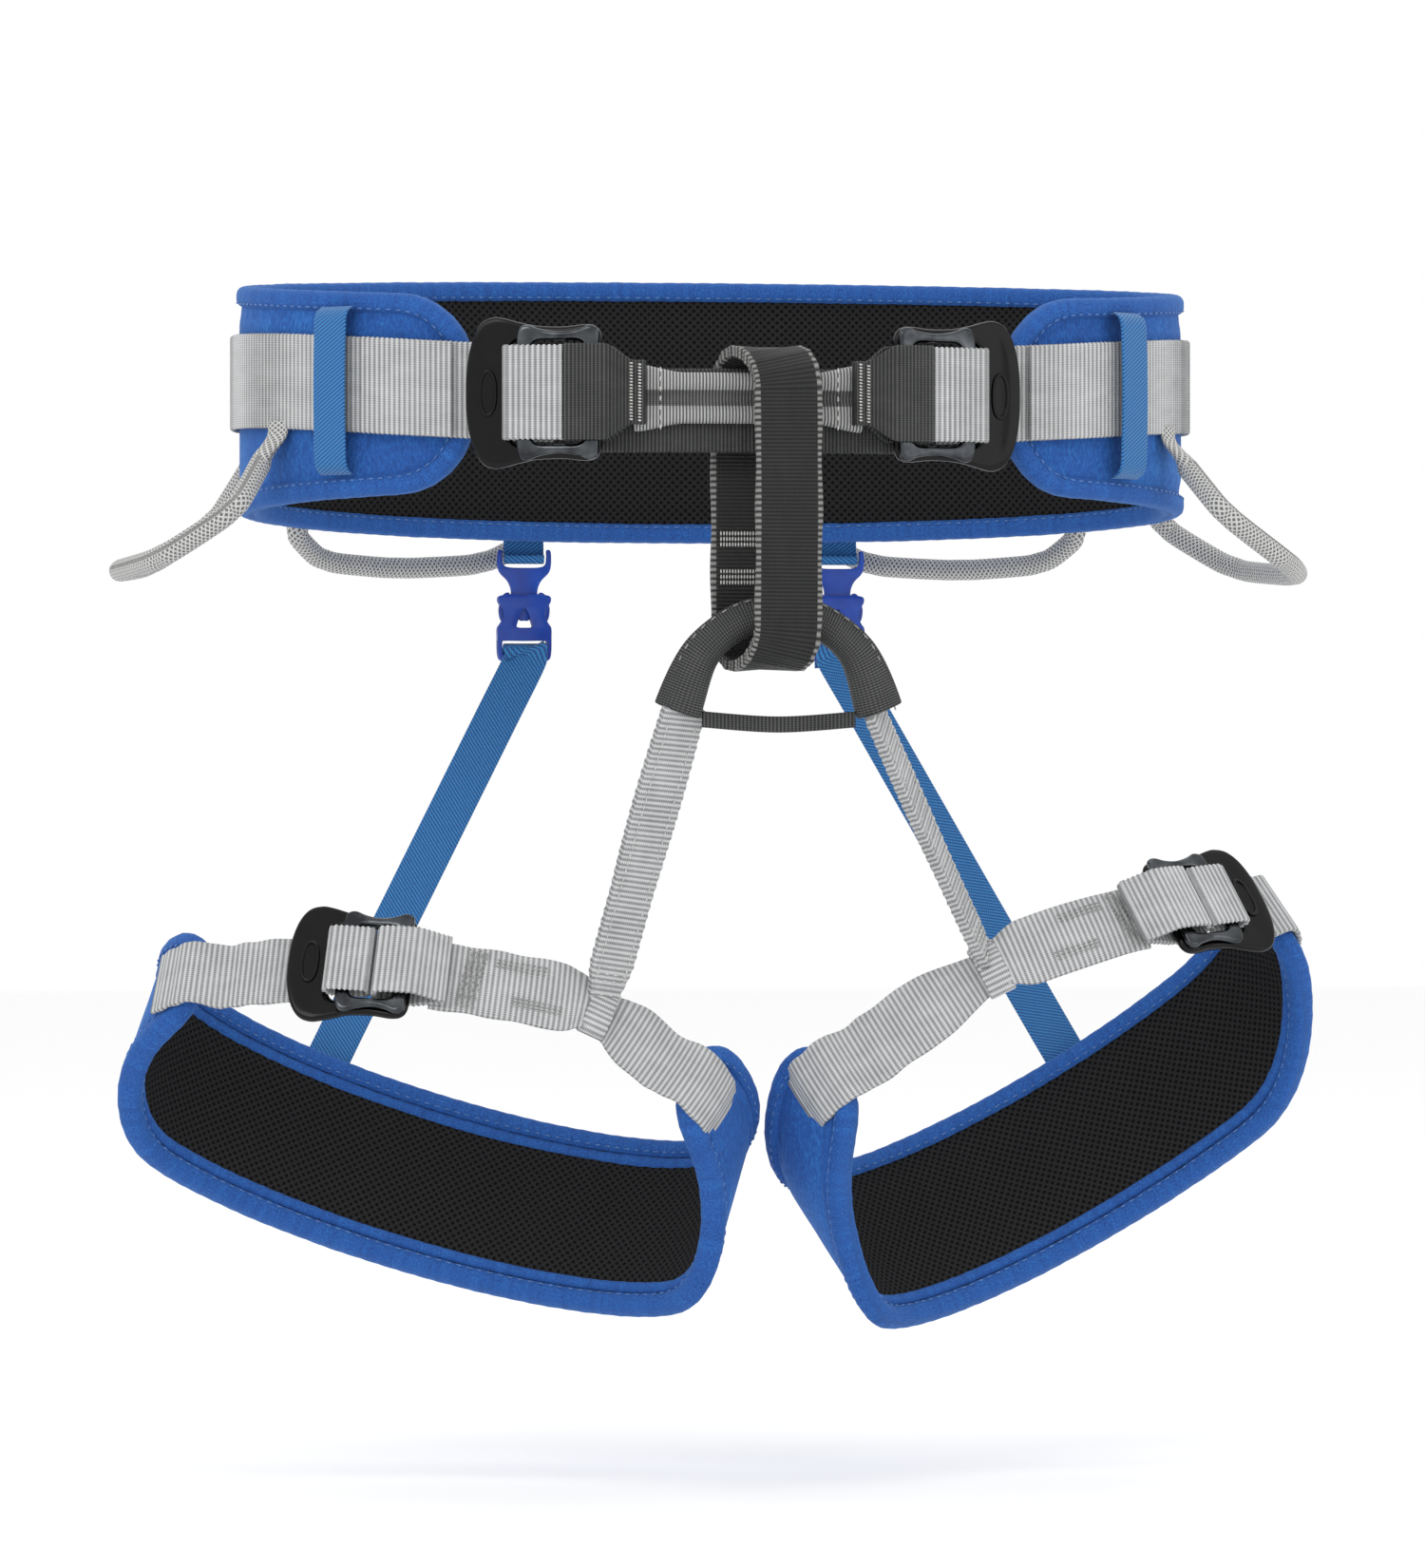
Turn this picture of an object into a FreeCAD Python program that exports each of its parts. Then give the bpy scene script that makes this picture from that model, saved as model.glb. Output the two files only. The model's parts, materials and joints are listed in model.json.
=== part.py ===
import FreeCAD, Part
import math
import os

# Climbing harness, millimetres.  Origin: centre of the waist opening at the middle of the waist webbing.
# +X is the wearer's left, the front (buckles, tie-in points, belay loop) faces -Y, +Z is up.

V = FreeCAD.Vector

# ---- driving dimensions -------------------------------------------------------------------------
GAP = 0.4                # clearance between neighbouring layers
WAIST_A = 186.0          # waist opening, half width
WAIST_B = 106.0          # waist opening, half depth
PAD_T = 8.4              # waist and leg pads, total thickness
SKIN_T = 1.2             # shell fabric and mesh lining
BIND_H = 7.0             # rolled edge binding, height
BIND_OVER = 0.6          # how far the binding stands proud of each face
BIND_T = PAD_T + 2 * BIND_OVER
WEB_W = 38.0             # waist webbing, width
WEB_T = 2.0              # waist and leg webbing, thickness
WEB_FRONT = -3.0         # middle of the waist webbing at the buckles
WEB_RISE = 11.0          # and how much higher it sits at the sides
FRONT_TOP = 37.0         # pad edges above and below the origin, front and back
BACK_TOP = 58.0
FRONT_LOW = -38.0
BACK_LOW = -53.0
WING_X = 107.0           # where each front wing of the pad ends
NOSE = 11.0              # degrees of the waist over which a wing end is rounded
KEEPER_PHI = 55.0        # keeper loops, degrees from the front
KEEPER_W = 18.0
TAIL_PHI = 50.0          # end of the doubled-back webbing tail

FRAME_L = 53.0           # waist buckle, length along the webbing
FRAME_T = 3.6            # buckle frame plate
SLIDER_T = 3.0           # buckle inner frame plate
RAIL = 11.0              # buckle frame above and below the webbing
SOLID_BAR = 16.0         # wide outer bar of the frame
THIN_BAR = 6.0           # inner bars
BUCKLE_X = 83.0          # waist buckle centre, from the middle
LEG_WEB_W = 29.0         # leg webbing, width
LEG_FRAME_L = 49.0       # leg buckle, length along the webbing
LEG_ANCHOR_REACH = 14.0  # its sewn loop, past the end of the frame

TIE_W = 25.0             # narrow middle of the tie-in webbing
TIE_T = 2.4
TIE_MID = -3.5           # middle height of the tie-in webbing
BELAY_W = 26.0           # belay loop webbing
BELAY_T = 4.8            # its stitched plies
BELAY_X = 7.0            # belay loop centre
BELAY_SHEAR = 8.0        # front ply this far to the wearer's left, back ply as far to the right
BELAY_TOP = TIE_MID + TIE_W / 2.0 + BELAY_T + 3.4
BELAY_LOW = -110.0
BELAY_DEPTH = 35.0       # front face to back face
BRIDGE_R = 7.5           # rolled leg bridge, radius
BRIDGE_PLAY = 7.5        # leg bridge above the belay loop's lower fold
BRIDGE_X = 12.5          # leg bridge centre
BRIDGE_SPAN = 37.5       # half distance between its ends
BRIDGE_LOW = -126.0      # where the risers leave it
CROSS_W = 6.0            # crosspiece tape

LEG_B = 58.0             # leg loop, half depth
LEG_PAD_H = 79.0         # leg pad height at the back
LEG_END_H = 46.0         # and at its ends
RISER_W = 20.0

ELASTIC_W = 16.0
ELASTIC_T = 1.6
CLIP_X = 67.0            # rear clips, from the middle
CLIP_W = 23.0
CLIP_T = 6.4
GEAR_R = 4.4             # gear loop, sheathed cord radius

# Each leg loop hangs its own way: centre, half width, lean (outer side up), pitch (back down), turn, then the
# places round the loop, in degrees from the outer side: pad ends, buckle, and strap junction.
LEG = {
    "right": {"side": -1, "c": (118.0, -38.0, -292.0), "half": 117.0, "lean": 17.0, "pitch": 26.0, "turn": 6.0,
              "pad": (-29.0, 221.0), "buckle": -66.0, "junction": -115.0,
              "rise": (18.0, 30.0, 46.0, 34.0), "elastic": 66.0, "riser_across": (1.0, 0.2, 0.3)},
    "left": {"side": 1, "c": (140.0, -38.0, -284.0), "half": 107.0, "lean": 30.0, "pitch": 26.0, "turn": 0.0,
             "pad": (-8.0, 227.0), "buckle": -38.0, "junction": -92.0,
             "rise": (24.0, 27.0, 44.0, 44.0), "elastic": 80.0, "riser_across": (0.45, 1.0, 0.2)},
}


# ---- helpers ------------------------------------------------------------------------------------
def save(name, shape):
    shape.exportStep("parts/" + name + ".step")


def smooth(t):
    t = min(max(t, 0.0), 1.0)
    return t * t * (3.0 - 2.0 * t)


def steps(a, b, n):
    return [a + (b - a) * i / (n - 1.0) for i in range(n)]


def polygon(points):
    return Part.makePolygon([V(*p) for p in points] + [V(*points[0])])


def loft(sections):
    """A solid through closed four-cornered sections."""
    return Part.makeLoft([polygon(s) for s in sections], True, False)


def ribbon(path, offset, thick, low, high, values):
    """A band through path(value, offset, height), from low(value) to high(value)."""
    sections = []
    for t in values:
        sections.append([path(t, offset, low(t)), path(t, offset + thick, low(t)),
                         path(t, offset + thick, high(t)), path(t, offset, high(t))])
    return loft(sections)


def strap(points, across, width, thick):
    """A flat band through points; across gives its width direction at each point."""
    p = [V(*q) for q in points]
    sections = []
    for i, q in enumerate(p):
        run = (p[min(i + 1, len(p) - 1)] - p[max(i - 1, 0)]).normalize()
        wide = V(*across[i])
        wide = (wide - run * wide.dot(run)).normalize()
        up = run.cross(wide)
        h = wide * (width / 2.0)
        n = up * (thick / 2.0)
        sections.append([q - h - n, q + h - n, q + h + n, q - h + n])
    return loft([[(c.x, c.y, c.z) for c in s] for s in sections])


def rounded_wire(points):
    """Straight runs joined by tangent arcs as large as the runs allow."""
    p = [V(*q) for q in points]
    edges = []
    start = p[0]
    for i in range(1, len(p) - 1):
        back = p[i - 1] - p[i]
        ahead = p[i + 1] - p[i]
        cut = 0.45 * min(back.Length, ahead.Length)
        turn = math.pi - back.getAngle(ahead)
        a = p[i] + V(back).normalize() * cut
        b = p[i] + V(ahead).normalize() * cut
        middle = V(back).normalize() + V(ahead).normalize()
        middle.normalize()
        radius = cut / math.tan(turn / 2.0)
        reach = radius / math.cos(turn / 2.0) - radius
        edges.append(Part.LineSegment(start, a).toShape())
        edges.append(Part.Arc(a, p[i] + middle * reach, b).toShape())
        start = b
    edges.append(Part.LineSegment(start, p[-1]).toShape())
    return Part.Wire(edges)


def tube(points, radius):
    wire = rounded_wire(points)
    first = V(*points[0])
    along = V(*points[1]) - first
    ring = Part.Wire(Part.makeCircle(radius, first, along))
    return wire.makePipeShell([ring], True, False)


def box(x0, x1, y0, y1, z0, z1):
    return Part.makeBox(x1 - x0, y1 - y0, z1 - z0, V(x0, y0, z0))


def loop_band(x0, x1, y0, y1, thick, width):
    """A closed strap loop seen along Z: a stadium ring, as wide as the webbing."""
    def stadium(a, b, c, d, w):
        r = (d - c) / 2.0
        m = (c + d) / 2.0
        ends = (V(a + r, c, -w), V(b - r, c, -w), V(b, m, -w), V(b - r, d, -w), V(a + r, d, -w), V(a, m, -w))
        outline = Part.Wire([Part.LineSegment(ends[0], ends[1]).toShape(),
                             Part.Arc(ends[1], ends[2], ends[3]).toShape(),
                             Part.LineSegment(ends[3], ends[4]).toShape(),
                             Part.Arc(ends[4], ends[5], ends[0]).toShape()])
        return Part.Face(outline).extrude(V(0, 0, 2 * w))
    outer = stadium(x0, x1, y0, y1, width / 2.0)
    inner = stadium(x0 + thick, x1 - thick, y0 + thick, y1 - thick, width / 2.0 + 1)
    return outer.cut(inner)


def placed(shape, origin, x_axis, y_axis, z_axis):
    m = FreeCAD.Matrix(x_axis.x, y_axis.x, z_axis.x, origin.x,
                       x_axis.y, y_axis.y, z_axis.y, origin.y,
                       x_axis.z, y_axis.z, z_axis.z, origin.z,
                       0, 0, 0, 1)
    return shape.transformed(m)


# ---- waist line ---------------------------------------------------------------------------------
def waist(phi, offset, z):
    """A point of the waist, phi degrees from the front towards +X, offset outwards."""
    t = math.radians(phi)
    n = V(WAIST_B * math.sin(t), -WAIST_A * math.cos(t), 0).normalize()
    return (WAIST_A * math.sin(t) + n.x * offset, -WAIST_B * math.cos(t) + n.y * offset, z)


def phi_at(x, offset):
    """The place on the front half whose point at this offset has this x."""
    low, high = 0.0, 90.0
    for _ in range(40):
        mid = (low + high) / 2.0
        if waist(mid, offset, 0)[0] < x:
            low = mid
        else:
            high = mid
    return low


WING_PHI = phi_at(WING_X, PAD_T)
TURN = 360.0 - WING_PHI


def around(phi):
    return (1.0 - math.cos(math.radians(phi))) / 2.0


def nose(phi):
    """1 on the pad, falling to 0 at the tip of each front wing."""
    t = min(phi - WING_PHI, TURN - phi) / NOSE
    t = min(max(t, 0.0), 1.0)
    return math.sqrt(1.0 - (1.0 - t) ** 2)


def pad_top(phi, inset):
    full = FRONT_TOP + (BACK_TOP - FRONT_TOP) * around(phi) - inset
    return full * (0.35 + 0.65 * nose(phi))


def pad_low(phi, inset):
    full = FRONT_LOW + (BACK_LOW - FRONT_LOW) * around(phi) + inset
    return full * (0.35 + 0.65 * nose(phi))


def web_z(phi):
    return WEB_FRONT + WEB_RISE * (1.0 - math.cos(math.radians(2.0 * min(phi, 360.0 - phi, 90.0)))) / 2.0


def waist_stations(phi0, phi1):
    values = [phi0] + [phi0 + NOSE * f for f in (0.12, 0.4, 1.0)]
    values += steps(phi0, phi1, 19)[1:-1]
    values += [phi1 - NOSE * f for f in (1.0, 0.4, 0.12)] + [phi1]
    return sorted(set(values))


def waist_layer(offset, thick):
    inset = BIND_H + GAP
    first, last = WING_PHI + 2.0, TURN - 2.0
    return ribbon(waist, offset, thick, lambda p: pad_low(p, inset), lambda p: pad_top(p, inset),
                  waist_stations(first, last))


def waist_binding():
    """The rolled edge: a strip on the top edge and one on the bottom edge, closed round each wing end."""
    values = waist_stations(WING_PHI + 2.0, TURN - 2.0)
    top = ribbon(waist, -BIND_OVER, BIND_T, lambda p: pad_top(p, BIND_H), lambda p: pad_top(p, 0), values)
    low = ribbon(waist, -BIND_OVER, BIND_T, lambda p: pad_low(p, 0), lambda p: pad_low(p, BIND_H), values)
    tips = []
    for a, b in ((WING_PHI, WING_PHI + 2.0), (TURN - 2.0, TURN)):
        tip = WING_PHI + 2.0
        tips.append(ribbon(waist, -BIND_OVER, BIND_T, lambda p: pad_low(tip, 0), lambda p: pad_top(tip, 0),
                           steps(a, b, 3)))
    return top.fuse([low] + tips)


# ---- buckles ------------------------------------------------------------------------------------
# Local axes: x along the webbing towards the anchored end, y away from the body, z across the webbing.
# The frame plate lies from y = 0 to FRAME_T, the inner frame (slider) just outside it.
def slider_hinge(length):
    """Local place of the slider's inner bar, which it tilts about."""
    return length / 2.0 - 1.5, FRAME_T + GAP + SLIDER_T / 2.0


def buckle_frame(length, web):
    half = length / 2.0
    h = web / 2.0 + RAIL
    e = half - 6.0
    side = 4.0
    left = -half + side
    outline = Part.Wire([
        Part.LineSegment(V(left, 0, -h), V(e, 0, -h + 3.0)).toShape(),
        Part.Arc(V(e, 0, -h + 3.0), V(half - 1.6, 0, -h + 4.8), V(half, 0, -h + 9.0)).toShape(),
        Part.LineSegment(V(half, 0, -h + 9.0), V(half, 0, h - 9.0)).toShape(),
        Part.Arc(V(half, 0, h - 9.0), V(half - 1.6, 0, h - 4.8), V(e, 0, h - 3.0)).toShape(),
        Part.LineSegment(V(e, 0, h - 3.0), V(left, 0, h)).toShape(),
        Part.Arc(V(left, 0, h), V(-half - 1.5, 0, 0), V(left, 0, -h)).toShape()])
    plate = Part.Face(outline).extrude(V(0, FRAME_T, 0))
    window = box(-half + SOLID_BAR, half - THIN_BAR, -1, FRAME_T + 1, -web / 2.0 - 2.0, web / 2.0 + 2.0)
    recess = Part.makeCylinder(3.2, 2.0, V(0, 0, 0), V(0, 1, 0))
    oval = recess.translated(V(-half + 8.0, FRAME_T - 0.9, -6.0))
    oval = oval.fuse(recess.translated(V(-half + 8.0, FRAME_T - 0.9, 6.0)))
    oval = oval.fuse(box(-half + 4.8, -half + 11.2, FRAME_T - 0.9, FRAME_T + 1.1, -6.0, 6.0))
    return plate.cut(window).cut(oval)


def buckle_slider(length, web):
    half = length / 2.0
    y0 = FRAME_T + GAP
    h = web / 2.0 + RAIL - 3.5
    x0 = -half + SOLID_BAR + 3.5
    outer = polygon([(x0, y0, -h + 2.5), (half - 1.0, y0, -h), (half - 1.0, y0, h), (x0, y0, h - 2.5)])
    plate = Part.Face(outer).extrude(V(0, SLIDER_T, 0))
    corners = [e for e in plate.Edges if abs(e.tangentAt(e.FirstParameter).y) > 0.99]
    plate = plate.makeFillet(2.4, corners)
    window = box(x0 + THIN_BAR, half - THIN_BAR, y0 - 1, y0 + SLIDER_T + 1, -web / 2.0 - 1.5, web / 2.0 + 1.5)
    return plate.cut(window)


def buckle_fold(length, web):
    """The adjustable webbing where it turns round the slider's outer bar."""
    x0 = -length / 2.0 + SOLID_BAR + 3.5
    y0 = FRAME_T + GAP
    return loop_band(x0 - 2.6, x0 + THIN_BAR + 2.6, y0 - 2.2, y0 + SLIDER_T + 2.4, 1.6, web)


def buckle_anchor(length, web, reach, narrow, tail_y):
    """The sewn webbing loop that holds both inner bars, closing to a doubled strap at its far end."""
    half = length / 2.0
    x0 = half - THIN_BAR - 3.4
    y0 = -3.0
    y1 = FRAME_T + GAP + SLIDER_T + 3.8
    grip = half + 3.4
    far = half + reach
    outer = polygon([(x0, y0 + 2, -web / 2.0), (x0 + 2, y0, -web / 2.0), (grip, y0, -web / 2.0),
                     (grip + 9, tail_y - TIE_T, -web / 2.0), (far, tail_y - TIE_T, -web / 2.0),
                     (far, tail_y + TIE_T, -web / 2.0), (grip + 9, tail_y + TIE_T, -web / 2.0),
                     (grip, y1, -web / 2.0), (x0 + 2, y1, -web / 2.0), (x0, y1 - 2, -web / 2.0)])
    strap_body = Part.Face(outer).extrude(V(0, 0, web))
    eye = box(x0 + 2.2, grip - 0.6, y0 + 2.2, y1 - 2.2, -web, web)
    w = web / 2.0
    n = narrow / 2.0
    shape = polygon([(x0 - 1, y0 - 5, -w), (grip + 2, y0 - 5, -w), (grip + 16, y0 - 5, -n), (far + 1, y0 - 5, -n),
                     (far + 1, y0 - 5, n), (grip + 16, y0 - 5, n), (grip + 2, y0 - 5, w), (x0 - 1, y0 - 5, w)])
    return strap_body.cut(eye).common(Part.Face(shape).extrude(V(0, 40, 0)))


WEB_OFFSET = PAD_T + BIND_OVER + GAP
BUCKLE_OFFSET = WEB_OFFSET + WEB_T + GAP
BUCKLE_PHI = phi_at(BUCKLE_X, BUCKLE_OFFSET)


def waist_axes(side):
    """Local axes of a waist buckle, x towards the middle of the harness."""
    z = web_z(BUCKLE_PHI)
    p = V(*waist(BUCKLE_PHI * side, BUCKLE_OFFSET, z))
    y_axis = (V(*waist(BUCKLE_PHI * side, BUCKLE_OFFSET + 10.0, z)) - p).normalize()
    x_axis = V(y_axis.y * side, -y_axis.x * side, 0)
    return p, x_axis, y_axis, x_axis.cross(y_axis)


# ---- leg loops ----------------------------------------------------------------------------------
def leg_place(leg, u, v, w):
    """Leg-loop coordinates (u outwards, v backwards, w up) in the harness frame."""
    lean, pitch, turn = (math.radians(leg[k]) for k in ("lean", "pitch", "turn"))
    v, w = v * math.cos(pitch) + w * math.sin(pitch), w * math.cos(pitch) - v * math.sin(pitch)
    u, w = u * math.cos(lean) - w * math.sin(lean), u * math.sin(lean) + w * math.cos(lean)
    u, v = u * math.cos(turn) - v * math.sin(turn), u * math.sin(turn) + v * math.cos(turn)
    c = leg["c"]
    return (leg["side"] * (c[0] + u), c[1] + v, c[2] + w)


def leg_ring(leg):
    half = leg["half"]

    def at(psi, offset, w):
        t = math.radians(psi)
        n = V(LEG_B * math.cos(t), half * math.sin(t), 0).normalize()
        return leg_place(leg, half * math.cos(t) + n.x * offset, LEG_B * math.sin(t) + n.y * offset, w)
    return at


def leg_height(leg, psi):
    """Half height of the pad: full at the back, less towards both ends, rounded at the very ends."""
    a, b = leg["pad"]
    inside = min(psi - a, b - psi)
    full = LEG_END_H + (LEG_PAD_H - LEG_END_H) * smooth(inside / 62.0)
    return full / 2.0 * (0.6 + 0.4 * math.sqrt(smooth(inside / 9.0)))


def leg_mid(leg, psi):
    """Middle height of the pad, which follows the straps up at its two ends."""
    a, b = leg["pad"]
    rise = leg["rise"]
    return rise[0] * (1 - smooth((psi - a) / 60.0)) + rise[3] * (1 - smooth((b - psi) / 60.0))


def leg_stations(leg):
    a, b = leg["pad"]
    return sorted([a, a + 1.5, a + 5, b - 5, b - 1.5, b] + steps(a, b, 15)[1:-1])


def leg_layer(leg, offset, thick):
    at = leg_ring(leg)
    inset = BIND_H + GAP
    return ribbon(at, offset, thick, lambda p: leg_mid(leg, p) - leg_height(leg, p) + inset,
                  lambda p: leg_mid(leg, p) + leg_height(leg, p) - inset, leg_stations(leg))


def leg_binding(leg):
    at = leg_ring(leg)
    a, b = leg["pad"]
    values = leg_stations(leg)

    def low_edge(p):
        return leg_mid(leg, p) - leg_height(leg, p)

    def top_edge(p):
        return leg_mid(leg, p) + leg_height(leg, p)

    top = ribbon(at, -BIND_OVER, BIND_T, lambda p: top_edge(p) - BIND_H, top_edge, values)
    low = ribbon(at, -BIND_OVER, BIND_T, low_edge, lambda p: low_edge(p) + BIND_H, values)
    tips = []
    for start, end, edge in ((a - 2.5, a, a), (b, b + 2.5, b)):
        tips.append(ribbon(at, -BIND_OVER, BIND_T, lambda p: low_edge(edge), lambda p: top_edge(edge),
                           steps(start, end, 3)))
    return top.fuse([low] + tips)


def strap_mid(leg, psi):
    """Middle height of the front strap: pad end, buckle, junction, pad end."""
    rise = leg["rise"]
    marks = (leg["pad"][0], leg["buckle"], leg["junction"], leg["pad"][1] - 360.0)
    for k in range(3):
        if psi >= marks[k + 1]:
            t = (marks[k] - psi) / (marks[k] - marks[k + 1])
            return rise[k] + (rise[k + 1] - rise[k]) * t
    return rise[3]


def leg_strap(leg, psi0, psi1, offset, width, count=7):
    at = leg_ring(leg)
    return ribbon(at, offset, WEB_T, lambda p: strap_mid(leg, p) - width / 2.0,
                  lambda p: strap_mid(leg, p) + width / 2.0, steps(psi0, psi1, count))


def leg_axes(leg):
    """Local axes of a leg buckle, x towards the crotch."""
    at = leg_ring(leg)
    psi = leg["buckle"]
    mid = strap_mid(leg, psi)
    p = V(*at(psi, BUCKLE_OFFSET - WEB_OFFSET + WEB_T, mid))
    x_axis = (V(*at(psi - 8, 0, strap_mid(leg, psi - 8))) - V(*at(psi + 8, 0, strap_mid(leg, psi + 8)))).normalize()
    up = (V(*at(psi, 0, mid + 10)) - V(*at(psi, 0, mid))).normalize()
    y_axis = up.cross(x_axis).normalize() * leg["side"]
    return p, x_axis, y_axis, x_axis.cross(y_axis)


def psi_past(leg, reach):
    """The place on the leg loop this far from the buckle's middle, along the webbing."""
    at = leg_ring(leg)
    origin, x_axis, y_axis, z_axis = leg_axes(leg)
    psi = leg["buckle"]
    while (V(*at(psi, WEB_T + 2.0, strap_mid(leg, psi))) - origin).dot(x_axis) < reach:
        psi -= 0.25
    return psi


os.makedirs("parts", exist_ok=True)

# ---- waist belt ---------------------------------------------------------------------------------
save("waist_pad_lining", waist_layer(0, SKIN_T))
save("waist_pad_foam", waist_layer(SKIN_T + GAP, PAD_T - 2 * (SKIN_T + GAP)))
save("waist_pad_shell", waist_layer(PAD_T - SKIN_T, SKIN_T))
save("waist_pad_binding", waist_binding())

WEB_START = BUCKLE_PHI - 2.0
half_web = WEB_W / 2.0
save("waist_webbing", ribbon(waist, WEB_OFFSET, WEB_T, lambda p: web_z(p) - half_web, lambda p: web_z(p) + half_web,
                             steps(WEB_START, 360.0 - WEB_START, 41)))

keepers = []
for name, side in (("right", -1), ("left", 1)):
    origin, xa, ya, za = waist_axes(side)

    def where(shape):
        return placed(shape, origin, xa, ya, za)

    save("waist_buckle_frame_" + name, where(buckle_frame(FRAME_L, WEB_W)))
    save("waist_buckle_slider_" + name, where(buckle_slider(FRAME_L, WEB_W)))
    save("waist_strap_fold_" + name, where(buckle_fold(FRAME_L, WEB_W)))
    save("tie_in_anchor_" + name, where(buckle_anchor(FRAME_L, WEB_W, 17.0, TIE_W, FRAME_T / 2.0)))

    tail = [side * p for p in steps(BUCKLE_PHI + 11.0, TAIL_PHI, 6)]
    save("waist_strap_tail_" + name, ribbon(waist, WEB_OFFSET + WEB_T + GAP, WEB_T,
                                            lambda p: web_z(abs(p)) - half_web, lambda p: web_z(abs(p)) + half_web,
                                            tail))
    keeper_phi = [side * p for p in steps(KEEPER_PHI - KEEPER_W / 6.6, KEEPER_PHI + KEEPER_W / 6.6, 3)]
    outer = WEB_OFFSET + 2 * (WEB_T + GAP)
    keepers.append(ribbon(waist, outer, 1.4, lambda p: FRONT_LOW + 6, lambda p: FRONT_TOP - 2, keeper_phi))
save("keeper_loops", Part.makeCompound(keepers))

# ---- tie-in webbing -----------------------------------------------------------------------------
TIE_OFFSET = BUCKLE_OFFSET - 2.0
tie_end = phi_at(BUCKLE_X - FRAME_L / 2.0 - 15.0, BUCKLE_OFFSET)
tie_top = TIE_W / 2.0 + TIE_MID
tie_low = TIE_MID - TIE_W / 2.0
save("tie_in_strap_back", ribbon(waist, TIE_OFFSET - TIE_T - 3 * GAP, TIE_T, lambda p: tie_low - 8.0,
                                 lambda p: tie_top, steps(-tie_end - 6, tie_end + 6, 9)))
save("tie_in_strap_front", ribbon(waist, TIE_OFFSET, TIE_T * 2, lambda p: tie_low, lambda p: tie_top,
                                  steps(-tie_end + 1.5, tie_end - 1.5, 9)))

# ---- belay loop ---------------------------------------------------------------------------------
belay_y = waist(0, TIE_OFFSET, 0)[1]
ring = loop_band(BELAY_LOW, BELAY_TOP, -BELAY_DEPTH / 2, BELAY_DEPTH / 2, BELAY_T, BELAY_W + 3 * BELAY_SHEAR)
ring = placed(ring, V(BELAY_X, belay_y, 0), V(0, 0, 1), V(0, 1, 0), V(-1, 0, 0))
reach = BELAY_DEPTH / 2.0 + 1.0
lean = 2.0 * BELAY_SHEAR * reach / BELAY_DEPTH
edges_of_webbing = polygon([(BELAY_X - BELAY_W / 2 + lean, belay_y - reach, BELAY_LOW - 1),
                            (BELAY_X + BELAY_W / 2 + lean, belay_y - reach, BELAY_LOW - 1),
                            (BELAY_X + BELAY_W / 2 - lean, belay_y + reach, BELAY_LOW - 1),
                            (BELAY_X - BELAY_W / 2 - lean, belay_y + reach, BELAY_LOW - 1)])
save("belay_loop", ring.common(Part.Face(edges_of_webbing).extrude(V(0, 0, BELAY_TOP - BELAY_LOW + 2))))

# ---- leg bridge ---------------------------------------------------------------------------------
bridge_y = belay_y
bridge_top = BELAY_LOW + BELAY_T + BRIDGE_R + BRIDGE_PLAY
shoulder = 0.72 * BRIDGE_SPAN
span = [(BRIDGE_X - BRIDGE_SPAN, bridge_y + 4, BRIDGE_LOW), (BRIDGE_X - shoulder, bridge_y, bridge_top - 5),
        (BRIDGE_X, bridge_y, bridge_top + 3), (BRIDGE_X + shoulder, bridge_y, bridge_top - 5),
        (BRIDGE_X + BRIDGE_SPAN, bridge_y + 4, BRIDGE_LOW)]
save("leg_bridge", tube(span, BRIDGE_R))
cross_z = BRIDGE_LOW - BRIDGE_R + 3.0
save("leg_bridge_crosspiece", box(BRIDGE_X - BRIDGE_SPAN + 12, BRIDGE_X + BRIDGE_SPAN - 12, bridge_y + 3, bridge_y + 5,
                                  cross_z - CROSS_W / 2, cross_z + CROSS_W / 2))

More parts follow.
